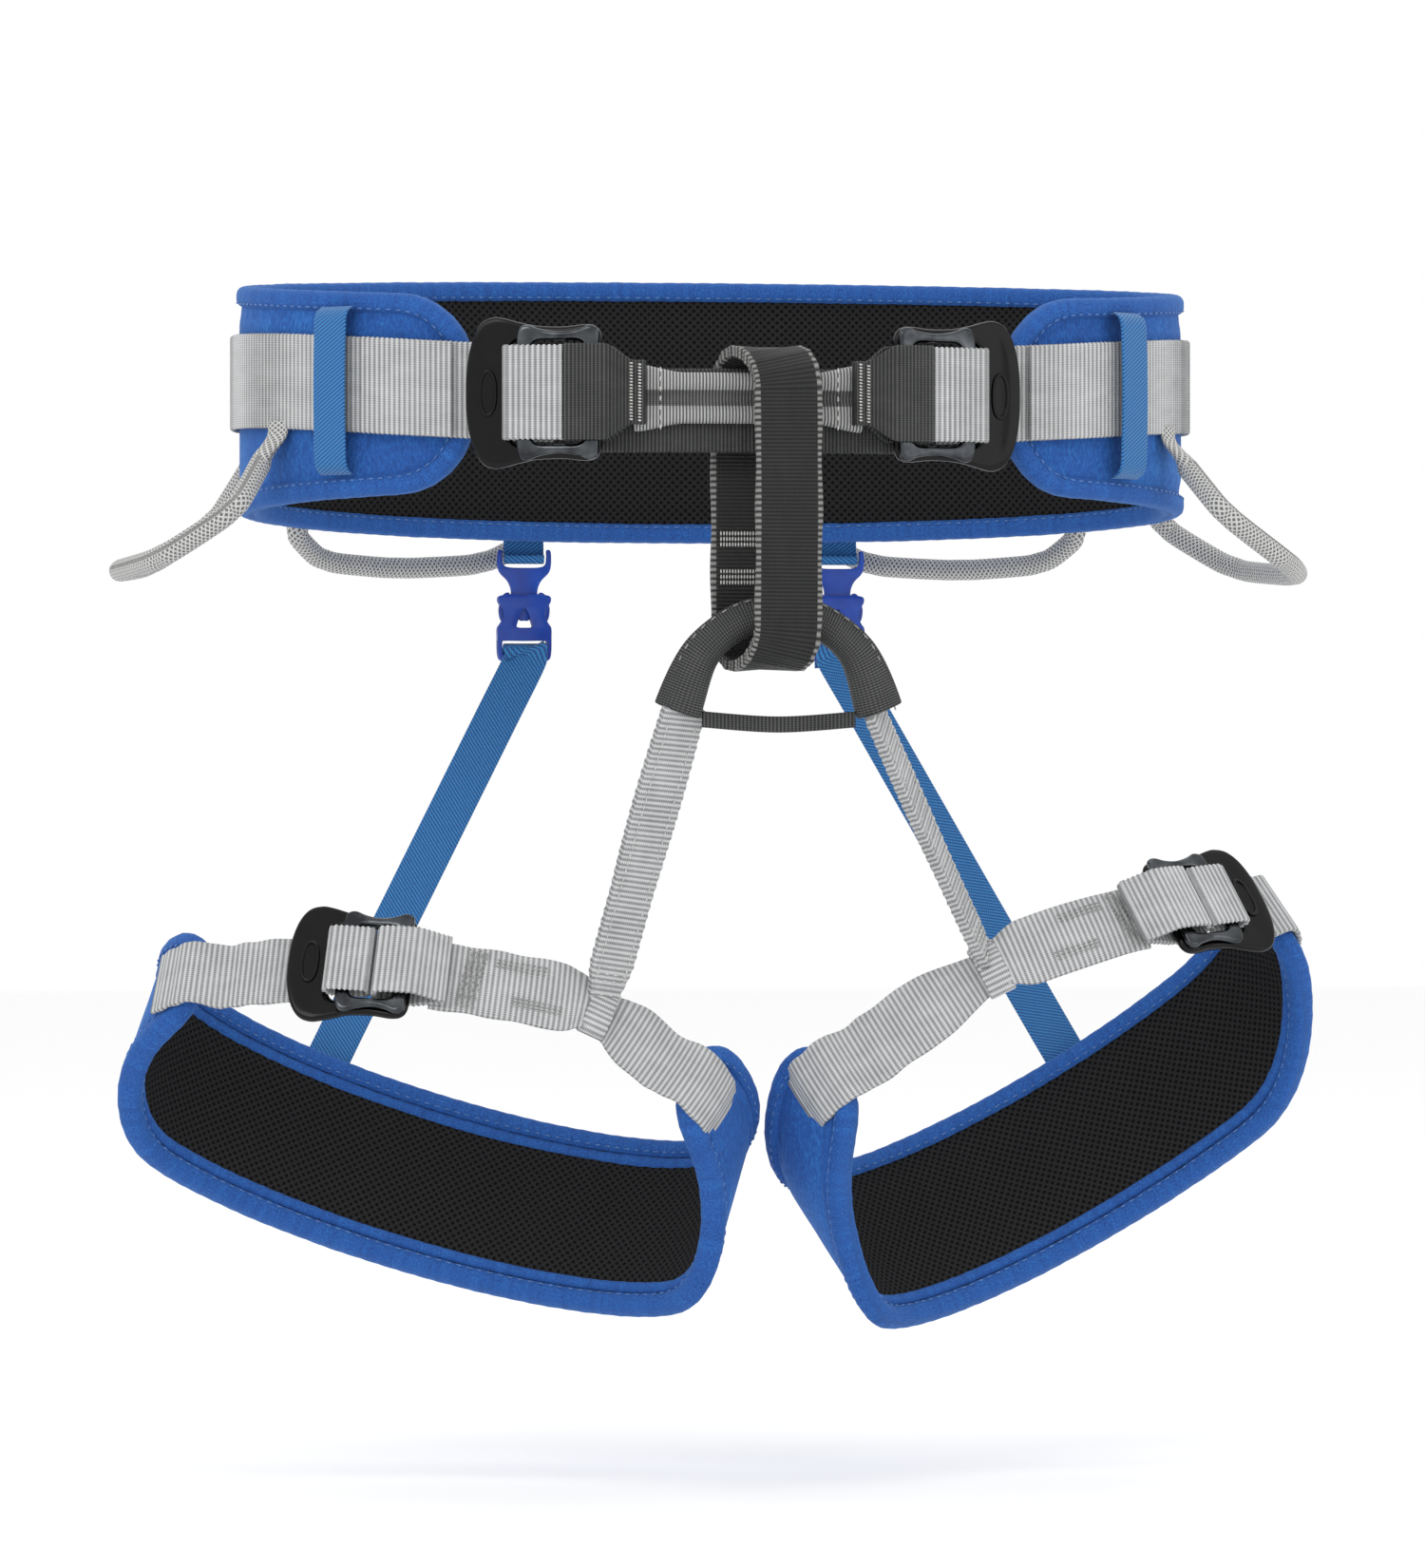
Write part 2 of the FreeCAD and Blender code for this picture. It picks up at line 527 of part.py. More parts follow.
# ---- legs ---------------------------------------------------------------------------------------
tapes = []
for name, leg in LEG.items():
    side = leg["side"]
    at = leg_ring(leg)
    save("leg_pad_lining_" + name, leg_layer(leg, 0, SKIN_T))
    save("leg_pad_foam_" + name, leg_layer(leg, SKIN_T + GAP, PAD_T - 2 * (SKIN_T + GAP)))
    save("leg_pad_shell_" + name, leg_layer(leg, PAD_T - SKIN_T, SKIN_T))
    save("leg_pad_binding_" + name, leg_binding(leg))

    origin, xa, ya, za = leg_axes(leg)

    def where(shape):
        return placed(shape, origin, xa, ya, za)

    save("leg_buckle_frame_" + name, where(buckle_frame(LEG_FRAME_L, LEG_WEB_W)))
    save("leg_buckle_slider_" + name, where(buckle_slider(LEG_FRAME_L, LEG_WEB_W)))
    save("leg_strap_fold_" + name, where(buckle_fold(LEG_FRAME_L, LEG_WEB_W)))
    save("leg_strap_anchor_" + name, where(buckle_anchor(LEG_FRAME_L, LEG_WEB_W, LEG_ANCHOR_REACH, LEG_WEB_W,
                                                               FRAME_T / 2.0)))

    buckle = leg["buckle"]
    inner_end = leg["pad"][1] - 360.0
    # the outer strap starts on the pad's outer face and runs under the buckle's wide bar
    save("leg_strap_outer_" + name, ribbon(
        at, 0, WEB_T, lambda p: strap_mid(leg, p) - LEG_WEB_W / 2, lambda p: strap_mid(leg, p) + LEG_WEB_W / 2,
        steps(leg["pad"][0] - 4.5, buckle + 5.0, 6)))
    start = psi_past(leg, LEG_FRAME_L / 2.0 + LEG_ANCHOR_REACH + 3 * GAP)
    save("leg_strap_front_" + name, leg_strap(leg, start, leg["junction"] + 1.5, WEB_T + 2.0, LEG_WEB_W))
    save("leg_strap_inner_" + name, leg_strap(leg, leg["junction"] - 1.5, inner_end + 4.5, 0, LEG_WEB_W))

    # riser from the bridge end to the junction
    end = span[0] if side < 0 else span[-1]
    foot = at(leg["junction"], WEB_T + 1.0, strap_mid(leg, leg["junction"]) + LEG_WEB_W / 2 + 4)
    top = (end[0], end[1], end[2] - BRIDGE_R - 1.0)
    middle = tuple((top[k] + foot[k]) / 2.0 + (0, 3.0, 0)[k] for k in range(3))
    save("leg_riser_" + name, strap([top, middle, foot], [leg["riser_across"]] * 3, RISER_W, WEB_T * 2))

    # rear elastic from the clip to the pad's top edge
    clip_y = WAIST_B + PAD_T / 2.0
    pad_psi = leg["elastic"]
    foot = at(pad_psi, PAD_T + 4.2, leg_mid(leg, pad_psi) + leg_height(leg, pad_psi) - 4)
    top = (side * CLIP_X, clip_y, BACK_LOW - 54.5)
    middle = tuple((top[k] + foot[k]) / 2.0 for k in range(3))
    save("elastic_riser_" + name, strap([top, middle, foot], [(1, 0, 0)] * 3, ELASTIC_W, ELASTIC_T))

    # rear clip: tape, male half with two spring prongs, female half
    x = side * CLIP_X
    z = BACK_LOW - 3.0
    y = clip_y
    plate = 1.5
    half = CLIP_W / 2.0
    tapes.append(box(x - 9, x + 9, y - 1.2, y + 1.2, z - 5.0, z + 2.0))
    male = box(x - half, x + half, y - plate, y + plate, z - 14.0, z)
    male = male.cut(box(x - 9.6, x + 9.6, y - 3, y + 3, z - 6.0, z + 1.0))
    male = male.fuse(box(x - 8.8, x + 8.8, y - plate, y + plate, z - 17.5, z - 14.0))
    male = male.fuse(box(x - 3.2, x + 3.2, y - plate, y + plate, z - 30.0, z - 17.5))
    save("clip_male_" + name, male)
    for tag, s in (("inner", -side), ("outer", side)):
        prong = box(-1.4, 1.4, -plate, plate, -13.0, 0)
        prong = prong.translated(V(x + s * 7.4, y, z - 18.0))
        save("clip_prong_" + tag + "_" + name, prong)
    body = box(x - half, x + half, y - CLIP_T / 2, y + CLIP_T / 2, z - 36.0, z - 19.0)
    body = body.cut(box(x - half + 1.4, x + half - 1.4, y - plate - 0.4, y + plate + 0.4, z - 33.0, z - 18.0))
    body = body.cut(box(x - half - 1, x + half + 1, y - plate - 0.4, y + plate + 0.4, z - 31.5, z - 23.0))
    foot_bar = box(x - half, x + half, y - 1.6, y + 1.6, z - 47.0, z - 36.0)
    foot_bar = foot_bar.cut(box(x - 8.6, x + 8.6, y - 2, y + 2, z - 44.5, z - 38.5))
    save("clip_female_" + name, body.fuse(foot_bar))
save("clip_tapes", Part.makeCompound(tapes))

# ---- gear loops ---------------------------------------------------------------------------------
GEAR_OFFSET = WEB_OFFSET + 2 * (WEB_T + GAP) + GEAR_R + 1.0
GEAR = {"front": (68.0, 112.0, -27.0, 38.0, 42.0), "rear": (128.0, 160.0, -38.0, 10.0, 26.0)}
for place, (phi0, phi1, z, out, drop) in GEAR.items():
    for name, side in (("right", -1), ("left", 1)):
        points = []
        for f, o, d in ((0, 0, 0), (-0.08, 0.55, 0.45), (0.12, 1, 0.92), (0.5, 1.06, 1), (0.88, 1, 0.92),
                        (1.08, 0.55, 0.45), (1, 0, 0)):
            phi = side * (phi0 + (phi1 - phi0) * f)
            points.append(waist(phi, GEAR_OFFSET + out * o, z - drop * d))
        save("gear_loop_" + place + "_" + name, tube(points, GEAR_R))
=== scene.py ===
import json
import math

import bmesh
import bpy
from mathutils import Matrix, Vector, noise

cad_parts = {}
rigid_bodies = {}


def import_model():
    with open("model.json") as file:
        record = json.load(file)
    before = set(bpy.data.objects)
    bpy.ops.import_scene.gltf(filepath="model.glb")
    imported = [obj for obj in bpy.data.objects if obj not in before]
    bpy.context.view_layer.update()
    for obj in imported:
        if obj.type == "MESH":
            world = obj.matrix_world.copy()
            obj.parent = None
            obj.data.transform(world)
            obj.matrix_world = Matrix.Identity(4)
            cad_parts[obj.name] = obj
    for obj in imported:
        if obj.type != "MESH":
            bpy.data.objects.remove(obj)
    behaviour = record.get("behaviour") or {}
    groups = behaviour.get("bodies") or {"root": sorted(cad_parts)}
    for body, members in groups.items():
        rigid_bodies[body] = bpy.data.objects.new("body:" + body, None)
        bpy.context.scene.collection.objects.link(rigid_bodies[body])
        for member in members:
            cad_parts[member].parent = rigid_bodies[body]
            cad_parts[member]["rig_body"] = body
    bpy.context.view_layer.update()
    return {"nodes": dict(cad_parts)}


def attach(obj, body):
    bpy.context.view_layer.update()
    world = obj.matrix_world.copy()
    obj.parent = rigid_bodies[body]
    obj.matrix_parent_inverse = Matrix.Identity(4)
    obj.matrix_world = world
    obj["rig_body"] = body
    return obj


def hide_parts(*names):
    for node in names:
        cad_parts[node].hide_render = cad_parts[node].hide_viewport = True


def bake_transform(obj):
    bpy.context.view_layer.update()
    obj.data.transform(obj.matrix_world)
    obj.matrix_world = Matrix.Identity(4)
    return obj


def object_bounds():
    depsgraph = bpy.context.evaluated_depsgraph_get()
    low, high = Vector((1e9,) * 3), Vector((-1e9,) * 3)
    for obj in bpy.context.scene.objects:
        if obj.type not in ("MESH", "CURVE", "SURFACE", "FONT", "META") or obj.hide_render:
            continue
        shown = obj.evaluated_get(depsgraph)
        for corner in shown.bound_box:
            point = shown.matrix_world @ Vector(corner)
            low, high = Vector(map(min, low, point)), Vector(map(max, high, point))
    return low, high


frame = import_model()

# A climbing harness.  Lengths below are millimetres; MM turns them into metres when a mesh is made.
MM = 0.001
SIDES = {"right": -1, "left": 1}
TAU = 2.0 * math.pi

# ---- sizes shared with the frame ----------------------------------------------------------------
GAP = 0.4
WAIST_A, WAIST_B = 186.0, 106.0            # waist opening, half width and half depth
PAD_T = 8.4
RIM_W = 8.6                                # edge binding, as it shows on a pad's face
WEB_W, WEB_T = 38.0, 2.0
WEB_FRONT, WEB_RISE = -3.0, 11.0
FRONT_TOP, BACK_TOP = 37.0, 58.0
FRONT_LOW, BACK_LOW = -38.0, -53.0
WING_X = 107.0
FRAME_L, LEG_FRAME_L, FRAME_T = 53.0, 49.0, 3.6
SLIDER_T, SOLID_BAR, THIN_BAR = 3.0, 16.0, 6.0
BUCKLE_X = 83.0
LEG_WEB_W = 29.0
GREY_RIB, DARK_RIB = 2.1, 1.5               # pitch of the ribs in each webbing
TIE_W, TIE_T = 25.0, 2.4
BELAY_W, BELAY_T, BELAY_X, BELAY_SHEAR = 26.0, 4.8, 7.0, 8.0
BELAY_TOP, BELAY_LOW, BELAY_DEPTH = 17.2, -110.0, 35.0
BRIDGE_R, BRIDGE_X, BRIDGE_SPAN, BRIDGE_LOW, BRIDGE_PLAY = 7.5, 12.5, 37.5, -126.0, 7.5
LEG_B, LEG_PAD_H, LEG_END_H = 58.0, 79.0, 46.0
CLIP_X = 67.0
# each leg loop: its middle and half width, how it leans, tips and turns (degrees), the angles round it where
# the pad ends, the buckle, the riser's junction and the elastic's foot lie, and the front strap's heights at
# the pad, the buckle, the junction and the pad again
LEG = {
    "right": {"side": -1, "c": (118.0, -38.0, -292.0), "half": 117.0, "lean": 17.0, "pitch": 26.0,
              "turn": 6.0, "pad": (-29.0, 221.0), "buckle": -66.0, "junction": -115.0,
              "rise": (18.0, 30.0, 46.0, 34.0), "elastic": 66.0},
    "left": {"side": 1, "c": (140.0, -38.0, -284.0), "half": 107.0, "lean": 30.0, "pitch": 26.0,
             "turn": 0.0, "pad": (-8.0, 227.0), "buckle": -38.0, "junction": -92.0,
             "rise": (24.0, 27.0, 44.0, 44.0), "elastic": 80.0},
}
WEB_OFFSET = PAD_T + 0.6 + GAP
SLIDER_START = SOLID_BAR + 3.5              # from a buckle's outer end to its sliding frame
STRAP_STEP = 1.6                            # spacing of the points along a leg strap
MM_PER_DEGREE = 1.5                         # about how far one degree goes round a leg loop
STRAP_LIFT = 1.0                            # a leg strap off its own line, where no pad is under it
BUCKLE_OFFSET = WEB_OFFSET + WEB_T + GAP
TIE_OFFSET = BUCKLE_OFFSET - 2.0
CLIP_Y, CLIP_TOP = WAIST_B + PAD_T / 2.0, BACK_LOW - 3.0


def smooth(t):
    """0 to 1 with soft ends; t outside that range stays at the nearer end."""
    t = min(max(t, 0.0), 1.0)
    return t * t * (3.0 - 2.0 * t)


def steps(a, b, n):
    """n even values from a to b."""
    return [a + (b - a) * i / (n - 1.0) for i in range(n)]


def mix(a, b, t):
    return a + (b - a) * t


def signed_power(x, power):
    return abs(x) ** power * (1 if x >= 0 else -1)


# ---- the waist line and the leg loops -----------------------------------------------------------
def waist(phi, offset, z):
    """A point of the waist, phi degrees from the front towards +X, offset outwards."""
    t = math.radians(phi)
    n = Vector((WAIST_B * math.sin(t), -WAIST_A * math.cos(t), 0)).normalized()
    return Vector((WAIST_A * math.sin(t) + n.x * offset, -WAIST_B * math.cos(t) + n.y * offset, z))


def phi_at(x, offset):
    """The waist angle whose point at this offset lies at x."""
    low, high = 0.0, 90.0
    for _ in range(40):
        mid = (low + high) / 2.0
        if waist(mid, offset, 0).x < x:
            low = mid
        else:
            high = mid
    return low


WING_PHI = phi_at(WING_X, PAD_T)
BUCKLE_PHI = phi_at(BUCKLE_X, BUCKLE_OFFSET)
NOSE_PHI = 9.0


def around(phi):
    """0 at the front of the belt, 1 at its back."""
    return (1.0 - math.cos(math.radians(phi))) / 2.0


def nose(inside, reach):
    """0 at the end of a pad, growing to 1 like a quarter circle over this reach."""
    t = min(max(inside / reach, 0.0), 1.0)
    return math.sqrt(max(1.0 - (1.0 - t) ** 2, 0.0))


def waist_edges(phi, inset):
    """Lower and upper edge of the waist pad, pulled in by inset."""
    inside = min(phi - WING_PHI, 360.0 - WING_PHI - phi) - inset / 3.4
    round_end = nose(inside, NOSE_PHI)
    top = mix(FRONT_TOP, BACK_TOP, around(phi)) - inset
    low = mix(FRONT_LOW, BACK_LOW, around(phi)) + inset
    mid = (top + low) / 2.0
    half = (top - low) / 2.0 * (0.12 + 0.88 * round_end)
    return mid - half, mid + half


def web_z(phi):
    """Middle height of the waist webbing, which rises from the front to the sides."""
    return WEB_FRONT + WEB_RISE * (1.0 - math.cos(math.radians(2.0 * min(phi, 360.0 - phi, 90.0)))) / 2.0


def leg_place(leg, u, v, w):
    """Leg-loop coordinates (u outwards, v backwards, w up) in the harness frame."""
    lean, pitch, turn = (math.radians(leg[k]) for k in ("lean", "pitch", "turn"))
    v, w = v * math.cos(pitch) + w * math.sin(pitch), w * math.cos(pitch) - v * math.sin(pitch)
    u, w = u * math.cos(lean) - w * math.sin(lean), u * math.sin(lean) + w * math.cos(lean)
    u, v = u * math.cos(turn) - v * math.sin(turn), u * math.sin(turn) + v * math.cos(turn)
    c = leg["c"]
    return Vector((leg["side"] * (c[0] + u), c[1] + v, c[2] + w))


def leg_ring(leg):
    """The function that gives a point of this leg loop: psi degrees round it, offset outwards, w up."""
    half = leg["half"]

    def at(psi, offset, w):
        t = math.radians(psi)
        n = Vector((LEG_B * math.cos(t), half * math.sin(t), 0)).normalized()
        return leg_place(leg, half * math.cos(t) + n.x * offset, LEG_B * math.sin(t) + n.y * offset, w)
    return at


def leg_edges(leg):
    """The function that gives the lower and upper edge of this leg pad, pulled in by inset."""
    a, b = leg["pad"]
    rise = leg["rise"]

    def edges(psi, inset):
        inside = min(psi - a, b - psi) - inset / 1.9
        full = mix(LEG_END_H, LEG_PAD_H, smooth(min(psi - a, b - psi) / 62.0)) - 2.0 * inset
        half = full / 2.0 * (0.25 + 0.75 * nose(inside, 11.0))
        mid = rise[0] * (1 - smooth((psi - a) / 60.0)) + rise[3] * (1 - smooth((b - psi) / 60.0))
        return mid - half, mid + half
    return edges


def strap_line(leg, psi):
    """Middle height of the front strap, straight between the pad, the buckle and the riser."""
    rise = leg["rise"]
    marks = (leg["pad"][0], leg["buckle"], leg["junction"], leg["pad"][1] - 360.0)
    for k in range(3):
        if psi >= marks[k + 1] or k == 2:
            return mix(rise[k], rise[k + 1], (marks[k] - psi) / (marks[k] - marks[k + 1]))


def strap_mid(leg, psi):
    """The same height, eased over its bends."""
    return sum(strap_line(leg, psi + d) for d in (-5.0, -2.5, 0.0, 2.5, 5.0)) / 5.0


# ---- materials ----------------------------------------------------------------------------------
def srgb(code):
    """A colour given as sRGB hex, turned linear."""
    parts = [int(code[i:i + 2], 16) / 255.0 for i in (1, 3, 5)]
    return tuple(c / 12.92 if c <= 0.04045 else ((c + 0.055) / 1.055) ** 2.4 for c in parts) + (1.0,)


def add(tree, kind, links=None, values=None, **settings):
    """Adds one node: links maps an input to another node's output, values sets inputs."""
    node = tree.nodes.new(kind)
    for key, value in settings.items():
        setattr(node, key, value)
    for key, value in (values or {}).items():
        node.inputs[key].default_value = value
    for key, source in (links or {}).items():
        tree.links.new(source, node.inputs[key])
    return node


def maths(tree, operation, *terms):
    """One Math node's result; each term is a number or another node's output."""
    node = add(tree, "ShaderNodeMath", operation=operation)
    for place, term in zip(node.inputs, terms):
        if isinstance(term, float):
            place.default_value = term
        else:
            tree.links.new(term, place)
    return node.outputs[0]


def finish(name, roughness, metallic=0.0, **extra):
    """A new material with its Principled shader; extra sets more of the shader's own sockets."""
    mat = bpy.data.materials.new(name)
    mat.use_nodes = True
    shader = mat.node_tree.nodes["Principled BSDF"]
    shader.inputs["Roughness"].default_value = roughness
    shader.inputs["Metallic"].default_value = metallic
    for key, value in extra.items():
        shader.inputs[key.replace("_", " ")].default_value = value
    return mat, mat.node_tree, shader


def ramp(tree, factor, stops):
    node = add(tree, "ShaderNodeValToRGB", {0: factor})
    elements = node.color_ramp.elements
    while len(elements) < len(stops):
        elements.new(0.5)
    for element, (place, code) in zip(elements, stops):
        element.position = place
        element.color = srgb(code)
    return node.outputs["Color"]


def paint(tree, shader, factor, stops):
    """Base colour from a ramp of sRGB colours along factor."""
    tree.links.new(ramp(tree, factor, stops), shader.inputs["Base Color"])


def weave_uv(tree):
    """The piece's own map in millimetres: X along it, Y across."""
    return add(tree, "ShaderNodeUVMap", uv_map="weave").outputs[0]


def object_place(tree):
    return add(tree, "ShaderNodeTexCoord").outputs["Object"]


def mottle(tree, vector, scale, detail, roughness=0.5):
    """Soft uneven noise, for fibres, wear and handling marks."""
    return add(tree, "ShaderNodeTexNoise", {"Vector": vector},
               {"Scale": scale, "Detail": detail, "Roughness": roughness}).outputs["Fac"]


def scaled(tree, vector, scale, turn=0.0):
    """The same place stretched by scale and turned by this many degrees."""
    return add(tree, "ShaderNodeMapping", {0: vector},
               {"Scale": scale, "Rotation": (0, 0, math.radians(turn))}).outputs[0]


def bands(tree, vector, pitch, turn=0.0, distortion=0.0):
    """Even rounded ribs with this pitch in millimetres, crossing the direction that turn gives."""
    place = scaled(tree, vector, (1, 1, 1), turn)
    return add(tree, "ShaderNodeTexWave", {"Vector": place},
               {"Scale": TAU / (20.0 * pitch), "Distortion": distortion, "Detail": 1.0},
               wave_type="BANDS", bands_direction="X", wave_profile="SIN").outputs["Fac"]


def bump(tree, shader, height, strength, distance):
    """Fine relief, with distance in metres."""
    node = add(tree, "ShaderNodeBump", {"Height": height}, {"Strength": strength, "Distance": distance})
    tree.links.new(node.outputs[0], shader.inputs["Normal"])


def combine(tree, a, b, weight=0.5):
    """One factor from two, with this weight on the second."""
    return maths(tree, "MULTIPLY_ADD", b, weight, maths(tree, "MULTIPLY", a, 1.0 - weight))


def brushed_blue():
    """Brushed stretch polyester: short nap, soft sheen and a faint heather of lighter fibres."""
    mat, tree, shader = finish("brushed_polyester_blue", 0.9, Sheen_Weight=0.3, Sheen_Roughness=0.4,
                               Sheen_Tint=srgb("#7db4ee"))
    where = object_place(tree)
    fibre = mottle(tree, scaled(tree, where, (1.0, 1.0, 0.45)), 900.0, 4.0, 0.65)
    cloud = mottle(tree, where, 26.0, 3.0)
    tone = combine(tree, fibre, cloud, 0.35)
    paint(tree, shader, tone, ((0.3, "#12397a"), (0.5, "#1b539f"), (0.7, "#3076c0")))
    bump(tree, shader, fibre, 0.5, 0.0004)
    return mat


def rolled_blue():
    """The same fabric cut on the bias and rolled as binding: short gathers, with painted shade making the
    folds darker.
    """
    mat, tree, shader = finish("bias_binding_blue", 0.88, Sheen_Weight=0.3, Sheen_Roughness=0.4,
                               Sheen_Tint=srgb("#7db4ee"))
    uv = weave_uv(tree)
    # the gather noise darkens the colour in the folds as painted shade, and shapes the bump of the gathers
    gather_shade = mottle(tree, scaled(tree, uv, (0.35, 0.06, 1.0)), 1.0, 3.0)
    fibre = mottle(tree, scaled(tree, uv, (1.0, 1.6, 1.0)), 1.2, 3.0)
    tone = combine(tree, fibre, gather_shade, 0.3)
    paint(tree, shader, tone, ((0.3, "#12397a"), (0.52, "#1b539f"), (0.74, "#2c70ba")))
    bump(tree, shader, tone, 0.6, 0.0008)
    return mat


def spacer_mesh():
    """Knitted polyester spacer mesh: rows of small open holes, 2.4 mm apart, on a matt black ground."""
    mat, tree, shader = finish("spacer_mesh_black", 0.85, Specular_IOR_Level=0.15)
    uv = weave_uv(tree)
    holes = maths(tree, "MULTIPLY", bands(tree, uv, 2.4, 45.0), bands(tree, uv, 2.4, -45.0))
    paint(tree, shader, holes, ((0.12, "#232324"), (0.42, "#141415"), (0.7, "#020202")))
    bump(tree, shader, maths(tree, "SUBTRACT", 1.0, holes), 0.9, 0.0007)
    return mat


def webbing(name, low, mid, high, pitch, edge=None, edge_from=17.0, loops=2.4):
    """Woven polyamide webbing: ribs across it and fine warp threads along it. With edge, its sides past
    edge_from show a paler colour
    in loops of this pitch: paler thread near the edges, or painted highlight where edge_from is small enough
    to cover most of the face."""
    mat, tree, shader = finish(name, 0.6, Specular_IOR_Level=0.3, Sheen_Weight=0.06, Sheen_Roughness=0.35)
    uv = weave_uv(tree)
    ribs = bands(tree, uv, pitch)
    warp = bands(tree, uv, 0.9, 90.0, 0.6)
    wear = mottle(tree, scaled(tree, uv, (0.05, 0.12, 1.0)), 1.0, 4.0, 0.6)
    weave = combine(tree, ribs, warp, 0.3)
    tone = combine(tree, weave, wear, 0.3)
    colour = ramp(tree, tone, ((0.15, low), (0.5, mid), (0.85, high)))
    if edge:
        across = add(tree, "ShaderNodeSeparateXYZ", {0: uv}).outputs[1]
        rim = add(tree, "ShaderNodeMapRange", {"Value": maths(tree, "ABSOLUTE", across)},
                  {"From Min": edge_from - 0.5, "From Max": edge_from}).outputs[0]
        band = maths(tree, "MULTIPLY", rim, bands(tree, uv, loops))
        colour = add(tree, "ShaderNodeMix", {0: band, 6: colour}, {7: srgb(edge)},
                     data_type="RGBA").outputs[2]
    tree.links.new(colour, shader.inputs["Base Color"])
    bump(tree, shader, weave, 0.7, 0.0004)
    return mat


def twill_tape():
    """Elasticated polyester tape: close diagonal twill lines, 1.3 mm apart."""
    mat, tree, shader = finish("twill_tape_blue", 0.66, Sheen_Weight=0.25, Sheen_Roughness=0.4)
    uv = weave_uv(tree)
    twill = bands(tree, uv, 1.3, 35.0)
    yarn = bands(tree, uv, 0.8, -55.0, 0.4)
    weave = combine(tree, twill, yarn, 0.3)
    paint(tree, shader, weave, ((0.1, "#0b3f7c"), (0.5, "#15609f"), (0.9, "#3188c6")))
    bump(tree, shader, weave, 0.8, 0.0004)
    return mat


def braided_sheath():
    """Braided polyamide sheath over a stiff core: two families of strands crossing at 35 degrees."""
    mat, tree, shader = finish("braided_sheath_grey", 0.6, Sheen_Weight=0.2, Sheen_Roughness=0.4)
    uv = weave_uv(tree)
    weave = maths(tree, "MAXIMUM", bands(tree, uv, 1.6, 35.0), bands(tree, uv, 1.6, -35.0))
    paint(tree, shader, weave, ((0.35, "#5c5c5b"), (0.65, "#9f9f9d"), (0.95, "#c8c8c6")))
    bump(tree, shader, weave, 0.9, 0.0005)
    return mat


def hard_metal(name, low, high, roughness, metallic, **extra):
    """A tumbled metal plate: fine grinding lines and faint handling marks under its finish."""
    mat, tree, shader = finish(name, roughness, metallic, **extra)
    where = object_place(tree)
    grain = mottle(tree, scaled(tree, where, (1.0, 1.0, 14.0)), 160.0, 4.0)
    marks = mottle(tree, where, 120.0, 5.0)
    paint(tree, shader, marks, ((0.35, low), (0.7, high)))
    rough = add(tree, "ShaderNodeMapRange", {"Value": grain},
                {"To Min": roughness - 0.03, "To Max": roughness + 0.05}).outputs[0]
    tree.links.new(rough, shader.inputs["Roughness"])
    bump(tree, shader, marks, 0.04, 0.0001)
    return mat


def moulded_blue():
    """Injection-moulded acetal: glossy and even, with a slight ripple and soft flow shade."""
    mat, tree, shader = finish("moulded_acetal_blue", 0.22, IOR=1.48)
    where = object_place(tree)
    flow = mottle(tree, where, 70.0, 2.0)
    paint(tree, shader, flow, ((0.3, "#08308c"), (0.7, "#0f48ad")))
    rough = add(tree, "ShaderNodeMapRange", {"Value": flow}, {"To Min": 0.16, "To Max": 0.32}).outputs[0]
    tree.links.new(rough, shader.inputs["Roughness"])
    bump(tree, shader, flow, 0.08, 0.0004)
    return mat


def thread(name, low, high):
    """Bonded polyester sewing thread, two strands twisted together."""
    mat, tree, shader = finish(name, 0.5, Sheen_Weight=0.2)
    where = object_place(tree)
    twist = mottle(tree, where, 1500.0, 2.0)
    paint(tree, shader, twist, ((0.3, low), (0.7, high)))
    bump(tree, shader, twist, 0.4, 0.0002)
    return mat


BLUE = brushed_blue()
RIM = rolled_blue()
LINING = spacer_mesh()
GREY = webbing("ribbed_webbing_grey", "#6f7071", "#a7a8a9", "#d0d1d2", 2.2)
DARK = webbing("tie_in_webbing_dark", "#151616", "#2e2f2f", "#565756", 1.5)
# a lighter copy of the dark tie-in webbing: painted highlight on the folded strap's rolls, its pale loops
# from 4 mm out painting that highlight over most of the face
DARK_HIGHLIT = webbing("tie_in_webbing_highlit", "#1f2020", "#454645", "#7c7d7c", 1.3, "#b4b5b4", 4.0, 1.3)
SLEEVE = webbing("tubular_webbing_dark", "#161717", "#313232", "#5e5f5e", 1.05)
BELAY = webbing("belay_webbing_dark", "#0a0a0a", "#181919", "#313231", 1.5, "#8b8b89", BELAY_W / 2.0 - 1.5)
TAPE = twill_tape()
SHEATH = braided_sheath()
FRAME_METAL = hard_metal("anodised_aluminium_black", "#040405", "#09090a", 0.12, 0.0, Specular_IOR_Level=0.22)
SLIDER_METAL = hard_metal("polished_steel_dark", "#343639", "#5c5f62", 0.13, 1.0)
PLASTIC = moulded_blue()
BLUE_THREAD = thread("sewing_thread_blue", "#163f86", "#4f88cc")
GREY_THREAD = thread("sewing_thread_grey", "#6e6e6c", "#9b9b98")
PALE_THREAD = thread("sewing_thread_pale", "#a5a5a2", "#d8d8d4")


# ---- meshes -------------------------------------------------------------------------------------
def link(name, mesh, material=None):
    """Puts a mesh, light or other data block into the scene under this name."""
    obj = bpy.data.objects.new(name, mesh)
    bpy.context.scene.collection.objects.link(obj)
    if material:
        mesh.materials.clear()
        mesh.materials.append(material)
    return obj


def face_out(mesh):
    """Turns every face's normal outwards."""
    bm = bmesh.new()
    bm.from_mesh(mesh)
    bmesh.ops.recalc_face_normals(bm, faces=bm.faces)
    bm.to_mesh(mesh)
    bm.free()


